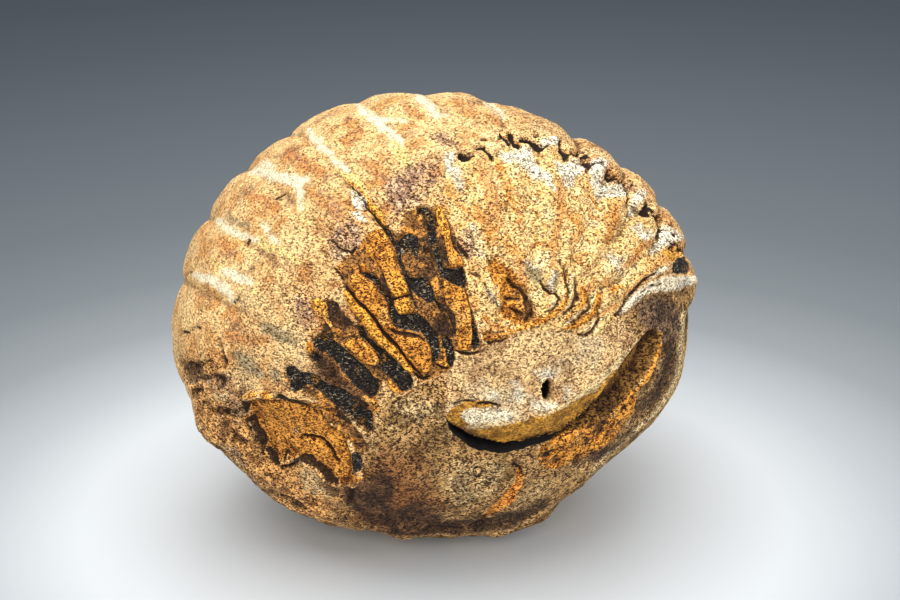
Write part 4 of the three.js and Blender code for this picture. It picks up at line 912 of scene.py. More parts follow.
MAUVE = [
    [(-5, 12.6), (-3, 14.6), (-1.8, 15), (-0.4, 15.1), (0.7, 14.8), (0.9, 13.8), (0.2, 13), (-0.6, 11.8),
     (-1.4, 10.8), (-2.6, 10.6), (-3.6, 9.4), (-4.4, 10.4)],
    [(-10.6, 7.8), (-9.4, 9), (-8.2, 9.4), (-7.4, 8.8), (-7.1, 7.4), (-7.3, 5.8), (-8.6, 5.6), (-9.8, 5.2),
     (-10.8, 5.8)],
    [(3, 8.6), (3.6, 8.8), (4.2, 8.2), (4.4, 7.2), (4.5, 6.2), (4.2, 5.6), (3.6, 5.7), (2.9, 6), (2.5, 6.6),
     (2.3, 7.4), (2.6, 8)],
    [(-0.2, 18), (1, 18.2), (2.2, 17.2), (1.8, 16.4), (0.6, 16.6)],
    [(20.6, 1.4), (21.8, 2), (23.1, 2.1), (24.1, 1.6), (24.6, 0.4), (24.8, -1.1), (24.6, -2.6),
     (23.4, -3.1), (22.1, -2.1), (20.6, -2.8), (19.1, -2.1), (18.8, -0.8), (19.6, 0.2)],
    [(-24.8, -6.4), (-22.9, -6.2), (-21.2, -6), (-21, -7.2), (-21.6, -7.6), (-22.8, -6.9), (-24.4, -6.9)],
    [(-20.6, -8.2), (-19.6, -8.4), (-19.2, -9.6), (-19.8, -10.6), (-20.5, -9.8)],
    [(-21.2, -13.4), (-20, -13.2), (-19, -14.2), (-18.4, -15.2), (-19.4, -15.4), (-20.4, -14.6)],
    [(1.5, 0), (1.9, 0), (2.1, -0.6), (2.2, -1.6), (2, -2.4), (1.7, -2.6), (1.7, -1.8), (1.6, -0.8)],
    [(-14.2, 1.8), (-12.8, 1.4), (-11.8, -0.8), (-12.8, -1.6), (-13.8, -0.4)],
]
stain("grey", soft(patch(*GREY_GRIT), 0.9) * seen)
stain("mauve", soft(patch(*MAUVE), 1.3) * seen)

# A white band of lime crosses the border's right end, over a dull dome of rock.
WHITE_BAND = [
    [(18.3, 0.1), (18.9, 1), (19.5, 1.8), (20.6, 2.7), (21.3, 3.1), (22, 3.4), (22.8, 3.7), (23.4, 3.9),
     (24.6, 3.8), (26, 3.8), (26.3, 3.3), (25.6, 2.8), (24.6, 2.5), (23.8, 2.3), (22.7, 2.3), (21.9, 2.2),
     (21.1, 1.9), (20.3, 1.3), (19.1, 0.3), (18.5, -0.1)],
    [(21.4, 3.8), (22, 4.4), (22.8, 4.8), (23.4, 4.6), (23, 4.2), (22.2, 3.9), (21.6, 3.5)],
]
BAND_LINES = [
    [(18.2, -0.1, 0.18), (18.6, 0.4, 0.1), (19.2, 1.3, 0.09), (19.9, 2.2, 0.1), (20.6, 3, 0.11),
     (21.4, 3.7, 0.11), (22.2, 4.3, 0.1), (22.8, 4.7, 0.07)],
    [(20.6, 2.3, 0.07), (21.6, 2.8, 0.08), (22.6, 3.1, 0.07)],
]
DOME = [(20.6, 1), (21.8, 1.5), (23.1, 1.6), (24.1, 1), (24.7, -0.2), (24.8, -1.6), (24.2, -2.8), (23, -3),
        (21.8, -2.6), (21, -1.6), (20.4, -0.4)]
END_CRUST = [(23.7, 4.1), (23.8, 4.9), (24.4, 5.6), (25.2, 5.9), (25.6, 5.2), (25.5, 4.4), (25.1, 4)]
WHITE_HEIGHT, BAND_LINE_DEPTH = 0.3, 0.4
on_white = soft(patch(*WHITE_BAND), 0.5) * seen
band_lines = soft(brush(BAND_LINES), 0.3) * seen
relief += WHITE_HEIGHT * on_white - BAND_LINE_DEPTH * band_lines
stain("white", on_white)
# Painted shade in the lines along the white band.
stain("groove_shade", band_lines)
stain("black", soft(patch(END_CRUST), 0.4) * seen)
stain("dome", soft(patch(DOME), 2.0) * seen)

# ---- The cheek plate ----
# At the lower left a flake of orange shell lies in a sunk place, edged by cracks, with a curled
# fold in it and a small pit.
PLATE = [(-18.8, -8.7), (-17.2, -8.5), (-16.2, -8.5), (-14.2, -9.1), (-13.4, -9.3), (-12.4, -9.6),
         (-11.4, -10), (-10.7, -10.6), (-10.1, -11.3), (-9.4, -11.8), (-8.9, -12.4), (-8.6, -13.2),
         (-8.3, -14.1), (-8.2, -15), (-8.2, -15.7), (-7.7, -16.2), (-8.2, -16.8), (-9.1, -17),
         (-9.8, -16.8), (-10.6, -16.2), (-11.2, -15.4), (-11.9, -14.7), (-12.6, -14.5), (-13.6, -14.4),
         (-14.4, -14.5), (-14.9, -14.1), (-15.3, -14.7), (-15.8, -14.7), (-16.4, -13.8), (-17.1, -12.9),
         (-17.7, -11.9), (-18.2, -10.8), (-18.4, -9.8), (-18.9, -9.2)]
PLATE_BRIGHT = [(-11.2, -11.7), (-10.2, -12), (-9.3, -12.3), (-8.7, -13.3), (-8.4, -14.4), (-8.4, -15.4),
                (-9.1, -15.6), (-9.7, -15), (-10.1, -14.2), (-10.7, -13.3), (-11.6, -12.7)]
PLATE_FOLD = [(-13.4, -12.7, 0.1), (-12.4, -12.7, 0.12), (-11.6, -13, 0.13), (-10.9, -13.5, 0.15),
              (-10.4, -14.2, 0.15), (-10.1, -14.9, 0.12), (-9.7, -15.2, 0.1)]
PLATE_LINES = [
    [(-16.2, -14.8, 0.15), (-15.6, -15.1, 0.18), (-15, -15.4, 0.2), (-14.3, -15.2, 0.18),
     (-13.8, -14.7, 0.1), (-13.2, -14.5, 0.1), (-12.5, -14.6, 0.12), (-11.9, -14.9, 0.1),
     (-11.4, -15.4, 0.1), (-10.9, -16.1, 0.15), (-10.3, -16.7, 0.15), (-9.8, -17, 0.1)],
    [(-18.4, -10.4, 0.12), (-17.9, -11.6, 0.12), (-17.2, -12.8, 0.12), (-16.5, -13.9, 0.12),
     (-16, -14.7, 0.12)],
    [(-19, -10.6, 0.1), (-18.4, -11.8, 0.1), (-17.6, -13.2, 0.1), (-16.8, -14.4, 0.1)],
    [(-15.6, -8.3, 0.15), (-14.5, -8.8, 0.2), (-13.4, -9.1, 0.15), (-12.4, -9.5, 0.12), (-11.4, -9.9, 0.1)],
    [(-19.3, -8.2, 0.1), (-19.1, -9, 0.22), (-18.9, -9.8, 0.22)],
    [(-15.1, -14.2, 0.25), (-15, -14.4, 0.25)],
    [(-10.4, -11.8, 0.08), (-9.4, -11.9, 0.1), (-8.8, -12.6, 0.08)],
]
PLATE_PALE = [(-14.7, -11.9), (-14, -11.4), (-13.3, -11.5), (-13.2, -12.2), (-13.9, -12.6), (-14.6, -12.4)]
SCRAPS = [
    [(-18.8, -8.2, 0.15), (-18.2, -8, 0.25), (-17.7, -8.1, 0.2)],
    [(-17.1, -7.9, 0.2), (-16.6, -8, 0.3), (-16, -8.4, 0.2)],
    [(-18.9, -10.2, 0.15), (-18.6, -10.5, 0.2)],
    [(-8.2, -16.4, 0.2), (-7.4, -16.3, 0.25), (-7, -16.2, 0.1)],
]
END_SPOT = [(-8.2, -13.8), (-7.8, -13.6), (-7.3, -14.1), (-7.2, -14.8), (-7.4, -15.6), (-7.9, -15.7),
            (-8.2, -15.1)]
PLATE_DEPTH, PLATE_BANK, PLATE_CRACK, SCRAP_HEIGHT = 0.55, 0.35, 0.75, 0.3
plate = patch(PLATE)
in_plate = soft(plate, 0.3) * seen
plate_lines = brush(PLATE_LINES + [PLATE_FOLD])
scraps = soft(brush(SCRAPS), 0.3) * seen
relief += (PLATE_BANK * near(plate - 0.25, 0.25) - PLATE_CRACK * soft(plate_lines - 0.05, 0.35)) * seen
relief += SCRAP_HEIGHT * scraps - PLATE_DEPTH * in_plate
stain("plate", in_plate)
stain("ochre", 0.7 * soft(patch(PLATE_BRIGHT), 0.8) * seen)
stain("ochre", scraps)
stain("chalk", 0.5 * soft(patch(PLATE_PALE), 0.8) * seen)
# Painted shade in the plate's cracks and fold.
stain("groove_shade", soft(plate_lines - 0.06, 0.3) * seen)
# Painted shade along the outside of the plate's cracks.
stain("umber_and_painted_shade", 0.7 * soft(plate_lines, 1.1) * seen * (1 - in_plate))
stain("black", soft(patch(END_SPOT), 0.4) * seen)

# An orange sliver runs down to the underside, below a tiny ring.
SLIVER = [(8.6, -15.8, 0.3), (8.4, -17, 0.45), (7.3, -18.6, 0.45), (5.9, -19.8, 0.3), (4.4, -20.9, 0.15)]
HOOK = [(8, -15, 0.1), (8.7, -15.4, 0.12), (8.9, -16.1, 0.1)]
RING_MARK = [(4, -15.6, 0.08), (4.3, -15.4, 0.08), (4.7, -15.5, 0.08), (4.9, -15.8, 0.08),
             (4.8, -16.2, 0.08), (4.4, -16.4, 0.08), (4.1, -16.2, 0.08), (4, -15.8, 0.08)]
SLIVER_DEPTH, RING_MARK_DEPTH = 0.25, 0.4
in_sliver = soft(brush([SLIVER]), 0.3) * seen
ring_mark = soft(brush([HOOK, RING_MARK]), 0.3) * seen
relief -= SLIVER_DEPTH * in_sliver + RING_MARK_DEPTH * ring_mark
stain("sliver", in_sliver)
# Painted shade in the hook and the tiny ring.
stain("groove_shade", ring_mark)

# ---- The coating rock ----
# Grey-brown rock coats the head and the underside, rusty at the bottom, and the chipped edge at
# the lower left is brown where its layers have flaked off.
MATRIX = [(-6, -12.2), (-5.4, -9.6), (-4.4, -8.1), (-3, -8), (-1.9, -7.6), (-0.9, -6.8), (0.6, -6.6),
          (1.3, -7.8), (1, -9.4), (0.9, -10.4), (1.6, -11.3), (2.6, -11.9), (3.6, -12.6), (5.6, -13.2),
          (7.6, -13.2), (11.1, -12.5), (12.4, -11.9), (13.7, -11), (14.9, -10), (15.8, -9.1), (16.6, -8.1),
          (17.6, -6.9), (18.5, -5.8), (19.3, -4.6), (20.2, -3.3), (20.6, -2.6), (18.8, -0.6), (20.6, 1.4),
          (22.6, 2.2), (26.6, 3), (27.6, 1.4), (27.6, -10.6), (12.6, -26.6), (-5.4, -26.6), (-10.4, -20.1),
          (-8.2, -17.6), (-7, -16.4), (-7.2, -14.1), (-8.2, -13.2)]
RUST = [(-6.8, -14.6), (-5, -13.6), (-2.6, -13.4), (-1, -14.8), (-0.2, -17), (0.6, -19.1), (0.6, -22.1),
        (-5.4, -22.6), (-8.4, -19.6), (-8.2, -17.6)]
# Dark brown patches over the rock; the strip along the bottom is painted shadow.
UMBER_PATCHES_AND_BOTTOM_SHADE = [
    [(-12.6, -3.8), (-11.2, -3.8), (-10, -4.8), (-9, -6.2), (-8.2, -7.2), (-6.8, -8.4), (-7.8, -8.6),
     (-9.4, -7.6), (-10.8, -7), (-12, -6)],
    [(-9.4, -16.8), (-8.4, -17.1), (-7.2, -16.9), (-6, -16), (-4.8, -15.6), (-4, -16.4), (-3.8, -17.6),
     (-4.4, -18.6), (-4.2, -19.8), (-3, -19.2), (-1.6, -18.6), (-0.2, -19.2), (1.2, -20.2), (0.2, -21.4),
     (-2.4, -22), (-5, -21.8), (-6.8, -21), (-7.8, -19.6), (-8.8, -19), (-9.4, -18)],
    [(-11.6, -16.2), (-10.4, -17), (-9.2, -17.6), (-9.4, -18.6), (-10.4, -18), (-11.4, -17.2)],
    [(-25.1, -4.6), (-23.8, -4.6), (-22.8, -5.2), (-23, -6.2), (-24.4, -6.4), (-25.2, -5.6)],
    [(22.8, -2.8), (24, -2.4), (24.2, -4.2), (24, -5.8), (23.3, -7.2), (22.3, -8.4), (21.2, -9.4),
     (20, -10.3), (20.6, -8.8), (21.8, -7.4), (22.6, -6), (23, -4.4)],
    [(-5.4, -20.5), (-2.4, -20.9), (0.6, -20.6), (3.6, -20.5), (6.6, -20.1), (9.6, -19.2), (11.2, -18.4),
     (11.4, -19.4), (7.6, -21.6), (0.6, -22.6), (-5.8, -22.4)],
    [(15.2, -13.4), (16.6, -13.6), (17.8, -13), (19, -12), (19.8, -11), (20, -11.8), (18.8, -13.2),
     (17.2, -14.4), (15.6, -14.8)],
]
WORN = [(-27.4, -3.6), (-25.2, -4.2), (-22.4, -4.4), (-20.6, -5.8), (-19.4, -7.4), (-18.2, -8.2),
        (-17.2, -9.4), (-16.2, -12.6), (-14.4, -14.1), (-10.4, -14.1), (-7.8, -15.6), (-7, -17),
        (-8.2, -17.8), (-8.4, -21.6), (-13.4, -22.6), (-21.4, -17.6), (-28.4, -10.6)]
CREVICES = [
    [(-25.2, -5, 0.12), (-24.7, -5.8, 0.16), (-24.8, -6.7, 0.16)],
    [(-24.4, -4.8, 0.15), (-23.8, -5.4, 0.16), (-23, -4.8, 0.16), (-22.4, -4.7, 0.1)],
    [(-24.6, -6.6, 0.15), (-23.6, -6.5, 0.16), (-22.6, -6.4, 0.2), (-21.8, -6.2, 0.2), (-21.2, -6.5, 0.25),
     (-21.3, -7.3, 0.15)],
    [(-24.2, -7.8, 0.3), (-23.6, -7.6, 0.25), (-23.1, -7.5, 0.1)],
    [(-21.2, -4.4, 0.2), (-20.8, -4.8, 0.14), (-21.2, -5.4, 0.14)],
    [(-23.4, -9, 0.14), (-22.6, -8.8, 0.16), (-22.2, -9.4, 0.1)],
    [(-21.6, -9.6, 0.15), (-21.2, -9.9, 0.3), (-20.6, -9.8, 0.25)],
    [(-20.1, -10.2, 0.25), (-19.7, -9.6, 0.2), (-19.3, -9.8, 0.15)],
    [(-21, -11.1, 0.2), (-20.2, -11.8, 0.25), (-19.6, -12.6, 0.2), (-19, -13, 0.15)],
    [(-18.4, -11.4, 0.2), (-18, -12.4, 0.22), (-17.5, -13.4, 0.26), (-17.2, -14.1, 0.26)],
    [(-17.2, -17.8, 0.15), (-15.8, -18, 0.16), (-14.6, -18.5, 0.2), (-13.8, -19.1, 0.25),
     (-13.1, -19.4, 0.15)],
    [(-8.8, -17.2, 0.2), (-8.2, -17.8, 0.35), (-8.4, -18.6, 0.3)],
]
CHIPS = [
    [(-13.8, -15.6), (-12.4, -15), (-11.2, -16), (-10.4, -17.4), (-9.4, -18.2), (-10.4, -18.8),
     (-12.4, -18.2), (-13.4, -17.2)],
    [(-20.2, -9.4), (-19.4, -9), (-18.8, -10), (-19.2, -11), (-20, -10.6)],
    [(-22.6, -7.8), (-21.2, -7.4), (-20.4, -8.4), (-20.8, -9), (-22.2, -8.8)],
]
# A painted rim light along the right edge.
RIGHT_EDGE_PAINTED_RIM_LIGHT = [
    [(25, 0.2, 0.3), (24.8, -2.1, 0.4), (24.6, -3.8, 0.4), (24.5, -5.4, 0.4), (24, -7.2, 0.4),
     (23, -8.7, 0.4), (22.1, -9.8, 0.35), (21.1, -10.7, 0.3), (20, -11.7, 0.3), (18.6, -13.1, 0.3),
     (17, -14.5, 0.3), (15.4, -16.1, 0.25)],
]
BUFF = [
    [(1.2, -14.1), (3.6, -13.8), (6.6, -14.4), (7.8, -15.2), (7.2, -17), (6, -18.6), (3.6, -20),
     (1.6, -19.6), (0.4, -17.4)],
    [(9.4, -16.6), (11.1, -16), (12.6, -16.6), (11.8, -18.2), (9.6, -19.4), (7.4, -19.8), (8.2, -18.2)],
    [(-4.6, -7.8), (-3, -8.2), (-0.9, -7.8), (0.6, -7.8), (1, -9.4), (0.6, -11), (-1.4, -11.6), (-3.4, -11),
     (-4.6, -9.6)],
]
CRAGS, CREVICE_DEPTH = 0.16, 0.4
under_head = ramp(hub_angle, 170, 182) * (1 - ramp(hub_angle, 352, 360)) * (1 - seen)
stain("matrix", np.maximum(soft(patch(MATRIX), 1.2) * seen, under_head))
stain("rust", soft(patch(RUST), 5) * seen)
stain("worn", soft(patch(WORN), 1.6) * seen)
stain("umber_and_painted_shade", soft(patch(*UMBER_PATCHES_AND_BOTTOM_SHADE), 1.4) * seen)
crevices = brush(CREVICES)
craggy = np.maximum(finish["matrix"], finish["worn"]) * (1 - in_trough)
relief += CRAGS * craggy * grain(skin, 2.4, 18, 3) - CREVICE_DEPTH * soft(crevices, 0.35) * seen
# Painted shade in the crevices.
stain("umber_and_painted_shade", 0.95 * soft(crevices, 0.7) * seen)
# The chips, the right edge and buff patches below take the pale lit tone; along the right edge it is a
# painted rim light.
stain("lit", 0.5 * soft(patch(*CHIPS), 1.2) * seen)
stain("lit", 0.6 * soft(brush(RIGHT_EDGE_PAINTED_RIM_LIGHT), 0.5) * seen)
stain("lit", 0.38 * soft(patch(*BUFF), 2) * seen)

# Fine pitting all over, then the points go to their places and the flat that it rests on is worn.
PITTING = 0.05
relief += PITTING * grain(skin, 0.9, 11, 2) * (1 - 0.6 * finish["lip"])
made = laid(formed + out * relief[:, None])
made[:, 2] = np.maximum(made[:, 2], 0)
stone_mesh.vertices.foreach_set("co", (made * MM).ravel())

# How strongly each spot is flecked: rings are smoother than the flank, and the filling smoothest.
ROUGH_LAYERS = ("matrix", "worn", "brown_and_ledge_shadow", "ochre", "plate", "mauve")
calm = ramp(from_hub, 21, 27) * ramp(hub_angle, 70, 90) * (1 - ramp(hub_angle, 165, 175))
rough_stone = np.maximum.reduce([finish[name] for name in ROUGH_LAYERS])
fleckiness = 0.44 + 0.6 * rough_stone + 0.3 * finish["matrix"]
fleckiness *= (1 - 0.36 * calm) * (1 - 0.55 * finish["cream"])
finish["lively"] = fleckiness * (1 - 0.4 * np.maximum(finish["rim"], finish["white"]))
finish["rings"] = calm

# How hollow each spot is, from its neighbours: hollows get painted shade, and high spots a painted highlight.
EASINGS = 6
DEEPEST_HOLLOW = 0.15
pairs = np.empty(len(stone_mesh.edges) * 2, int)
stone_mesh.edges.foreach_get("vertices", pairs)
pairs = pairs.reshape(-1, 2)
links = np.bincount(pairs.ravel(), minlength=len(made))
eased = made.copy()
for _ in range(EASINGS):
    total = np.zeros_like(eased)
    for axis in range(3):
        total[:, axis] = np.bincount(pairs[:, 0], eased[pairs[:, 1], axis], len(made))
        total[:, axis] += np.bincount(pairs[:, 1], eased[pairs[:, 0], axis], len(made))
    eased = total / links[:, None]
hollow = np.sum((eased - made) * (out @ pose.T), axis=1)
finish["hollow"] = np.clip((1 + hollow / DEEPEST_HOLLOW) / 2, 0, 1)

for name, strength in finish.items():
    layer = stone_mesh.attributes.new(name, "FLOAT", "POINT")
    layer.data.foreach_set("value", np.ascontiguousarray(strength, dtype=np.float32))
stone_mesh.polygons.foreach_set("use_smooth", np.ones(len(stone_mesh.polygons), bool))
stone_mesh.update()
stone = bpy.data.objects.new("trilobite_stone", stone_mesh)
bpy.context.scene.collection.objects.link(stone)

# ---- The stone's finish ----
# Limestone stained by iron: each mark's own colours, with fine speckle, dark pits and pale grain over all
# of it, painted shade in its hollows, a painted highlight on its high spots, and no gloss.
GRAIN_SIZE = 0.16
GRAIN_WEAR, WRINKLE_WEAR, MOTTLE_WEAR, CRUMBLE_WEAR = 2.4, 8.5, 1.2, 4
DARKENED, BLEACHED = (0.14, 0.08, 0.04, 1), (1.96, 2.04, 1.98, 1)
BROWN_DOT, PAINTED_HOLLOW_SHADE, PAINTED_HIGH_SPOT_HIGHLIGHT = (0.36, 0.25, 0.13, 1), (0.25, 0.18, 0.12, 1), (1.5, 1.6, 1.7, 1)
BUMP_HEIGHT = 0.35


class Shade:
    """One socket of the stone's shader, so that its pattern is written as sums."""

    tree = None

    def __init__(self, socket):
        self.socket = socket

    @classmethod
    def node(cls, kind, settings=None, inputs=None, output=0):
        made_node = cls.tree.nodes.new(kind)
        for name, value in (settings or {}).items():
            setattr(made_node, name, value)
        for name, value in (inputs or {}).items():
            if isinstance(value, Shade):
                cls.tree.links.new(value.socket, made_node.inputs[name])
            else:
                made_node.inputs[name].default_value = value
        return Shade(made_node.outputs[output])

    def math(self, operation, other):
        return Shade.node("ShaderNodeMath", {"operation": operation}, {0: self, 1: other})

    def __add__(self, other):
        return self.math("ADD", other)

    def __sub__(self, other):
        return self.math("SUBTRACT", other)

    def __mul__(self, other):
        return self.math("MULTIPLY", other)

    def __rsub__(self, other):
        return Shade.node("ShaderNodeMath", {"operation": "SUBTRACT"}, {0: other, 1: self})

    __radd__ = __add__
    __rmul__ = __mul__

    def step(self, low, high):
        return Shade.node("ShaderNodeMapRange", {"interpolation_type": "SMOOTHSTEP"},
                          {"Value": self, "From Min": low, "From Max": high})


def tint(red, green, blue):
    """A colour from screen values of 0 to 255."""
    return tuple(((part / 255 + 0.055) / 1.055) ** 2.4 for part in (red, green, blue)) + (1,)


def mixed(first, second, amount, how="MIX"):
    settings = {"data_type": "RGBA", "blend_type": how}
    return Shade.node("ShaderNodeMix", settings, {0: amount, 6: first, 7: second}, 2)


def blend(first, second, amount):
    """One screen colour passing into another."""
    return mixed(tint(*first), tint(*second), amount)


def speckle(size, detail=2, roughness=0.6, twist=0.0, place=None):
    """Noise from 0 to 1 whose grains are about size mm across."""
    return Shade.node("ShaderNodeTexNoise", None, {
        "Vector": place or everywhere, "Scale": 1 / (size * MM), "Detail": detail, "Roughness": roughness,
        "Distortion": twist})


fossil_finish = bpy.data.materials.new("fossil_stone")
fossil_finish.use_nodes = True
Shade.tree = fossil_finish.node_tree
everywhere = Shade.node("ShaderNodeTexCoord", output=3)

flattened = Shade.node(
    "ShaderNodeVectorMath", {"operation": "MULTIPLY"}, {0: everywhere, 1: (0.85, 0.85, 1.9)})
grain_scale = 1 / (GRAIN_SIZE * MM)
grains = Shade.node("ShaderNodeTexVoronoi", None, {"Vector": everywhere, "Scale": grain_scale}, 1)
wrinkles = speckle(0.21, 1.5, 0.75, 0.9, flattened)
mottle = speckle(1.7, 5, 0.78, 0.6)
dots = speckle(0.4, 1, 0.7)
grit = speckle(1.0, 3, 0.7)
blotch = speckle(2.6, 4, 0.65, 0.5)
cloud = speckle(6, 3, 0.6)
ragged = (speckle(0.5, 3, 0.75) - 0.5) * 1.2


def laid_mark(name):
    """A mark's own layer, as it lies on the mesh."""
    return Shade.node("ShaderNodeAttribute", {"attribute_name": name}, output=2)


def spread(name, low=0.35, high=0.6):
    """A mark's own layer, with a ragged edge."""
    layer = laid_mark(name)
    return (layer + ragged * layer.step(0.02, 0.25)).step(low, high)


cavity = laid_mark("hollow")
rings = laid_mark("rings")
lively = laid_mark("lively")

# The shell: tan and brown, brightest on the rings, with rust stains and pale rubs.
colour = blend((216, 168, 110), (184, 126, 70), blotch.step(0.5, 0.62))
colour = mixed(colour, tint(234, 198, 142), cloud.step(0.48, 0.62) * 0.7)
colour = mixed(colour, blend((248, 204, 142), (222, 162, 96), blotch.step(0.44, 0.62)), rings * 0.7)
colour = mixed(colour, tint(146, 108, 78), speckle(3.4, 4, 0.7).step(0.55, 0.66) * 0.65)
rusty = blend((200, 130, 68), (152, 104, 76), mottle.step(0.5, 0.6))
colour = mixed(colour, rusty, spread("stained", 0.2, 0.9) * 0.8)
colour = mixed(colour, tint(240, 208, 142), spread("pale", 0.2, 0.9) * 0.8)
worn = blend((218, 158, 90), (134, 84, 40), grit.step(0.47, 0.57))
worn = mixed(worn, tint(150, 116, 92), cloud.step(0.5, 0.6) * 0.6)
worn = mixed(worn, tint(70, 40, 22), mottle.step(0.54, 0.62) * 0.85)
colour = mixed(colour, worn, spread("worn", 0.3, 0.8) * 0.85)

# The fan's cast, and the grey grit and mauve stains over it and the shell.
fan = blend((236, 194, 128), (210, 154, 84), grit.step(0.48, 0.62))
fan = mixed(fan, tint(248, 220, 162), blotch.step(0.5, 0.64) * 0.8)
fan = mixed(fan, tint(226, 156, 88), laid_mark("ray").step(0.35, 0.9) * 0.8)
fan = mixed(fan, tint(204, 126, 44), spread("stained", 0.3, 1) * 0.8)
colour = mixed(colour, fan, spread("fan"))
grey = blend((138, 118, 86), (176, 154, 118), grit.step(0.46, 0.6))
colour = mixed(colour, grey, spread("grey", 0.2, 0.8) * 0.85)
violet = blend((140, 104, 82), (198, 162, 128), grit.step(0.47, 0.6))
colour = mixed(colour, violet, spread("mauve", 0.2, 0.8) * (0.35 + 0.6 * mottle.step(0.42, 0.54)))

# The coating rock, with its rust, its dull dome and pale flecks, and then the tail's lip.
matrix = blend((174, 132, 80), (114, 82, 44), blotch.step(0.44, 0.58))
matrix = mixed(matrix, tint(82, 58, 34), cloud.step(0.54, 0.68) * 0.6)
matrix = mixed(matrix, tint(206, 168, 114), mottle.step(0.54, 0.64) * 0.75)
matrix = mixed(matrix, tint(176, 134, 84), (1 - cloud).step(0.52, 0.64) * 0.6)
matrix = mixed(matrix, tint(120, 66, 26), spread("rust", 0.1, 0.9) * 0.75)
matrix = mixed(matrix, tint(226, 192, 142), (1 - wrinkles).step(0.57, 0.66) * 0.7)
dome = blend((66, 48, 36), (142, 110, 84), mottle.step(0.42, 0.6))
matrix = mixed(matrix, dome, spread("dome", 0.2, 0.8) * 0.92)
colour = mixed(colour, matrix, spread("matrix", 0.25, 0.75))
lip = blend((222, 182, 128), (176, 134, 90), blotch.step(0.44, 0.6))
lip = mixed(lip, tint(196, 170, 132), cloud.step(0.5, 0.6) * 0.7)
colour = mixed(colour, lip, spread("lip", 0.25, 0.75))
lime = blend((240, 224, 194), (190, 180, 164), blotch.step(0.46, 0.6))
colour = mixed(colour, lime, spread("white", 0.25, 0.9) * 0.85)
underside = blend((206, 146, 52), (142, 94, 34), mottle.step(0.44, 0.58))
colour = mixed(colour, underside, spread("rim", 0.3, 0.7))
# The lit tone: painted highlights on the lip's top edge and a painted rim light on the right edge, and also
# the pale chips and buff patches.
colour = mixed(colour, tint(246, 216, 162), spread("lit", 0.2, 0.8) * 0.8)

# The browns, oranges and ochres of broken stone, whose brown and umber also paint shade, and the pale
# fillings over them.
# The brown of rough stone, also used for the painted shadow under the fan's broken edge.
brown_and_ledge_shadow = blend((136, 92, 46), (198, 130, 56), grit.step(0.47, 0.57))
brown_and_ledge_shadow = mixed(brown_and_ledge_shadow, tint(56, 36, 22), blotch.step(0.48, 0.6))
brown_and_ledge_shadow = mixed(brown_and_ledge_shadow, tint(232, 184, 116), (1 - wrinkles).step(0.57, 0.66) * 0.7)
colour = mixed(colour, brown_and_ledge_shadow, spread("brown_and_ledge_shadow"))
colour = mixed(colour, blend((128, 88, 38), (84, 54, 22), blotch.step(0.46, 0.6)), spread("trough"))
colour = mixed(colour, blend((206, 138, 58), (180, 112, 40), grit.step(0.5, 0.64)), spread("plate"))
orange = blend((236, 156, 66), (204, 118, 42), grit.step(0.48, 0.58))
colour = mixed(colour, orange, spread("sliver", 0.3, 0.5))
ochre = blend((208, 138, 52), (156, 94, 30), grit.step(0.48, 0.6))
ochre = mixed(ochre, tint(226, 166, 88), blotch.step(0.54, 0.66) * 0.6)
colour = mixed(colour, ochre, spread("ochre"))
colour = mixed(colour, tint(218, 150, 54), spread("gold", 0.3, 0.6) * 0.8)
# Umber: the rock's dark brown, and also painted shade in crevices, grooves, under the rim and along the
# bottom.
umber_and_painted_shade = blend((46, 28, 18), (104, 70, 44), mottle.step(0.48, 0.62))
umber_and_painted_shade = mixed(umber_and_painted_shade, tint(190, 156, 116), (1 - wrinkles).step(0.59, 0.68) * 0.7)
colour = mixed(colour, umber_and_painted_shade, spread("umber_and_painted_shade", 0.2, 0.8) * 0.9)
colour = mixed(colour, tint(242, 212, 134), spread("yellow", 0.3, 0.8) * 0.7)
chalky = blend((244, 234, 212), (204, 188, 162), grit.step(0.46, 0.6))
colour = mixed(colour, chalky, spread("chalk", 0.3, 0.85) * 0.92)
colour = mixed(colour, tint(250, 236, 204), spread("cream", 0.32, 0.9) * 0.9)

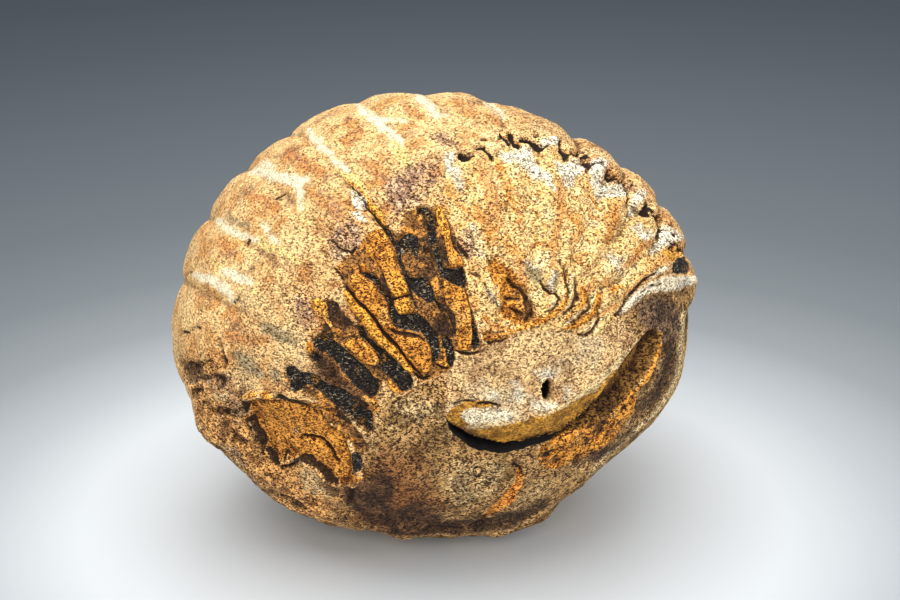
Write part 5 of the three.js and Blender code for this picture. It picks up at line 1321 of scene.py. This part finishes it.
# Weather darkens and bleaches every grain of it; the hollows get painted shade and the high spots a painted
# highlight.
wear = (grains - 0.5) * GRAIN_WEAR + (wrinkles - 0.5) * WRINKLE_WEAR + (mottle - 0.5) * MOTTLE_WEAR
wear = wear + (dots - 0.5) * CRUMBLE_WEAR * laid_mark("matrix")
weathering = mixed(DARKENED, BLEACHED, wear * lively + 0.5)
colour = mixed(colour, weathering, 1.0, "MULTIPLY")
colour = mixed(colour, BROWN_DOT, dots.step(0.6, 0.72) * 0.3 * lively, "MULTIPLY")
# Painted shade in the hollows, less on the rings, and a painted highlight on the high spots.
colour = mixed(colour, PAINTED_HOLLOW_SHADE, cavity.step(0.56, 0.95) * (0.88 - rings * 0.4), "MULTIPLY")
colour = mixed(colour, PAINTED_HIGH_SPOT_HIGHLIGHT, (1 - cavity).step(0.6, 1) * 0.5, "MULTIPLY")

# Last the black crusts, and painted shade: dark in the splits, grooves and pits, near black in the gap and
# the hole.
black = blend((60, 50, 42), (16, 11, 8), wrinkles.step(0.42, 0.52))
black = mixed(black, tint(222, 204, 170), (1 - wrinkles).step(0.58, 0.67) * grit.step(0.42, 0.58) * 0.9)
black = mixed(black, tint(190, 134, 58), blotch.step(0.57, 0.64) * (1 - wrinkles).step(0.48, 0.58))
colour = mixed(colour, black, spread("black", 0.4, 0.6))
colour = mixed(colour, tint(42, 25, 13), spread("groove_shade", 0.34, 0.58) * 0.92)
colour = mixed(colour, tint(40, 26, 14), spread("pit_shadow", 0.4, 0.62))
colour = mixed(colour, tint(12, 8, 5), laid_mark("gap").step(0.35, 0.6))

height = grains * 0.15 + wrinkles * 0.8 + dots * 0.3 + mottle * 1.2
bump = Shade.node("ShaderNodeBump", None, {
    "Strength": 0.55, "Distance": BUMP_HEIGHT * MM, "Height": height})
surface = fossil_finish.node_tree.nodes["Principled BSDF"]
fossil_finish.node_tree.links.new(colour.socket, surface.inputs["Base Color"])
fossil_finish.node_tree.links.new(bump.socket, surface.inputs["Normal"])
surface.inputs["Roughness"].default_value = 0.82
surface.inputs["Specular IOR Level"].default_value = 0.3
stone_mesh.materials.append(fossil_finish)

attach(stone, "root")
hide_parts("trilobite")
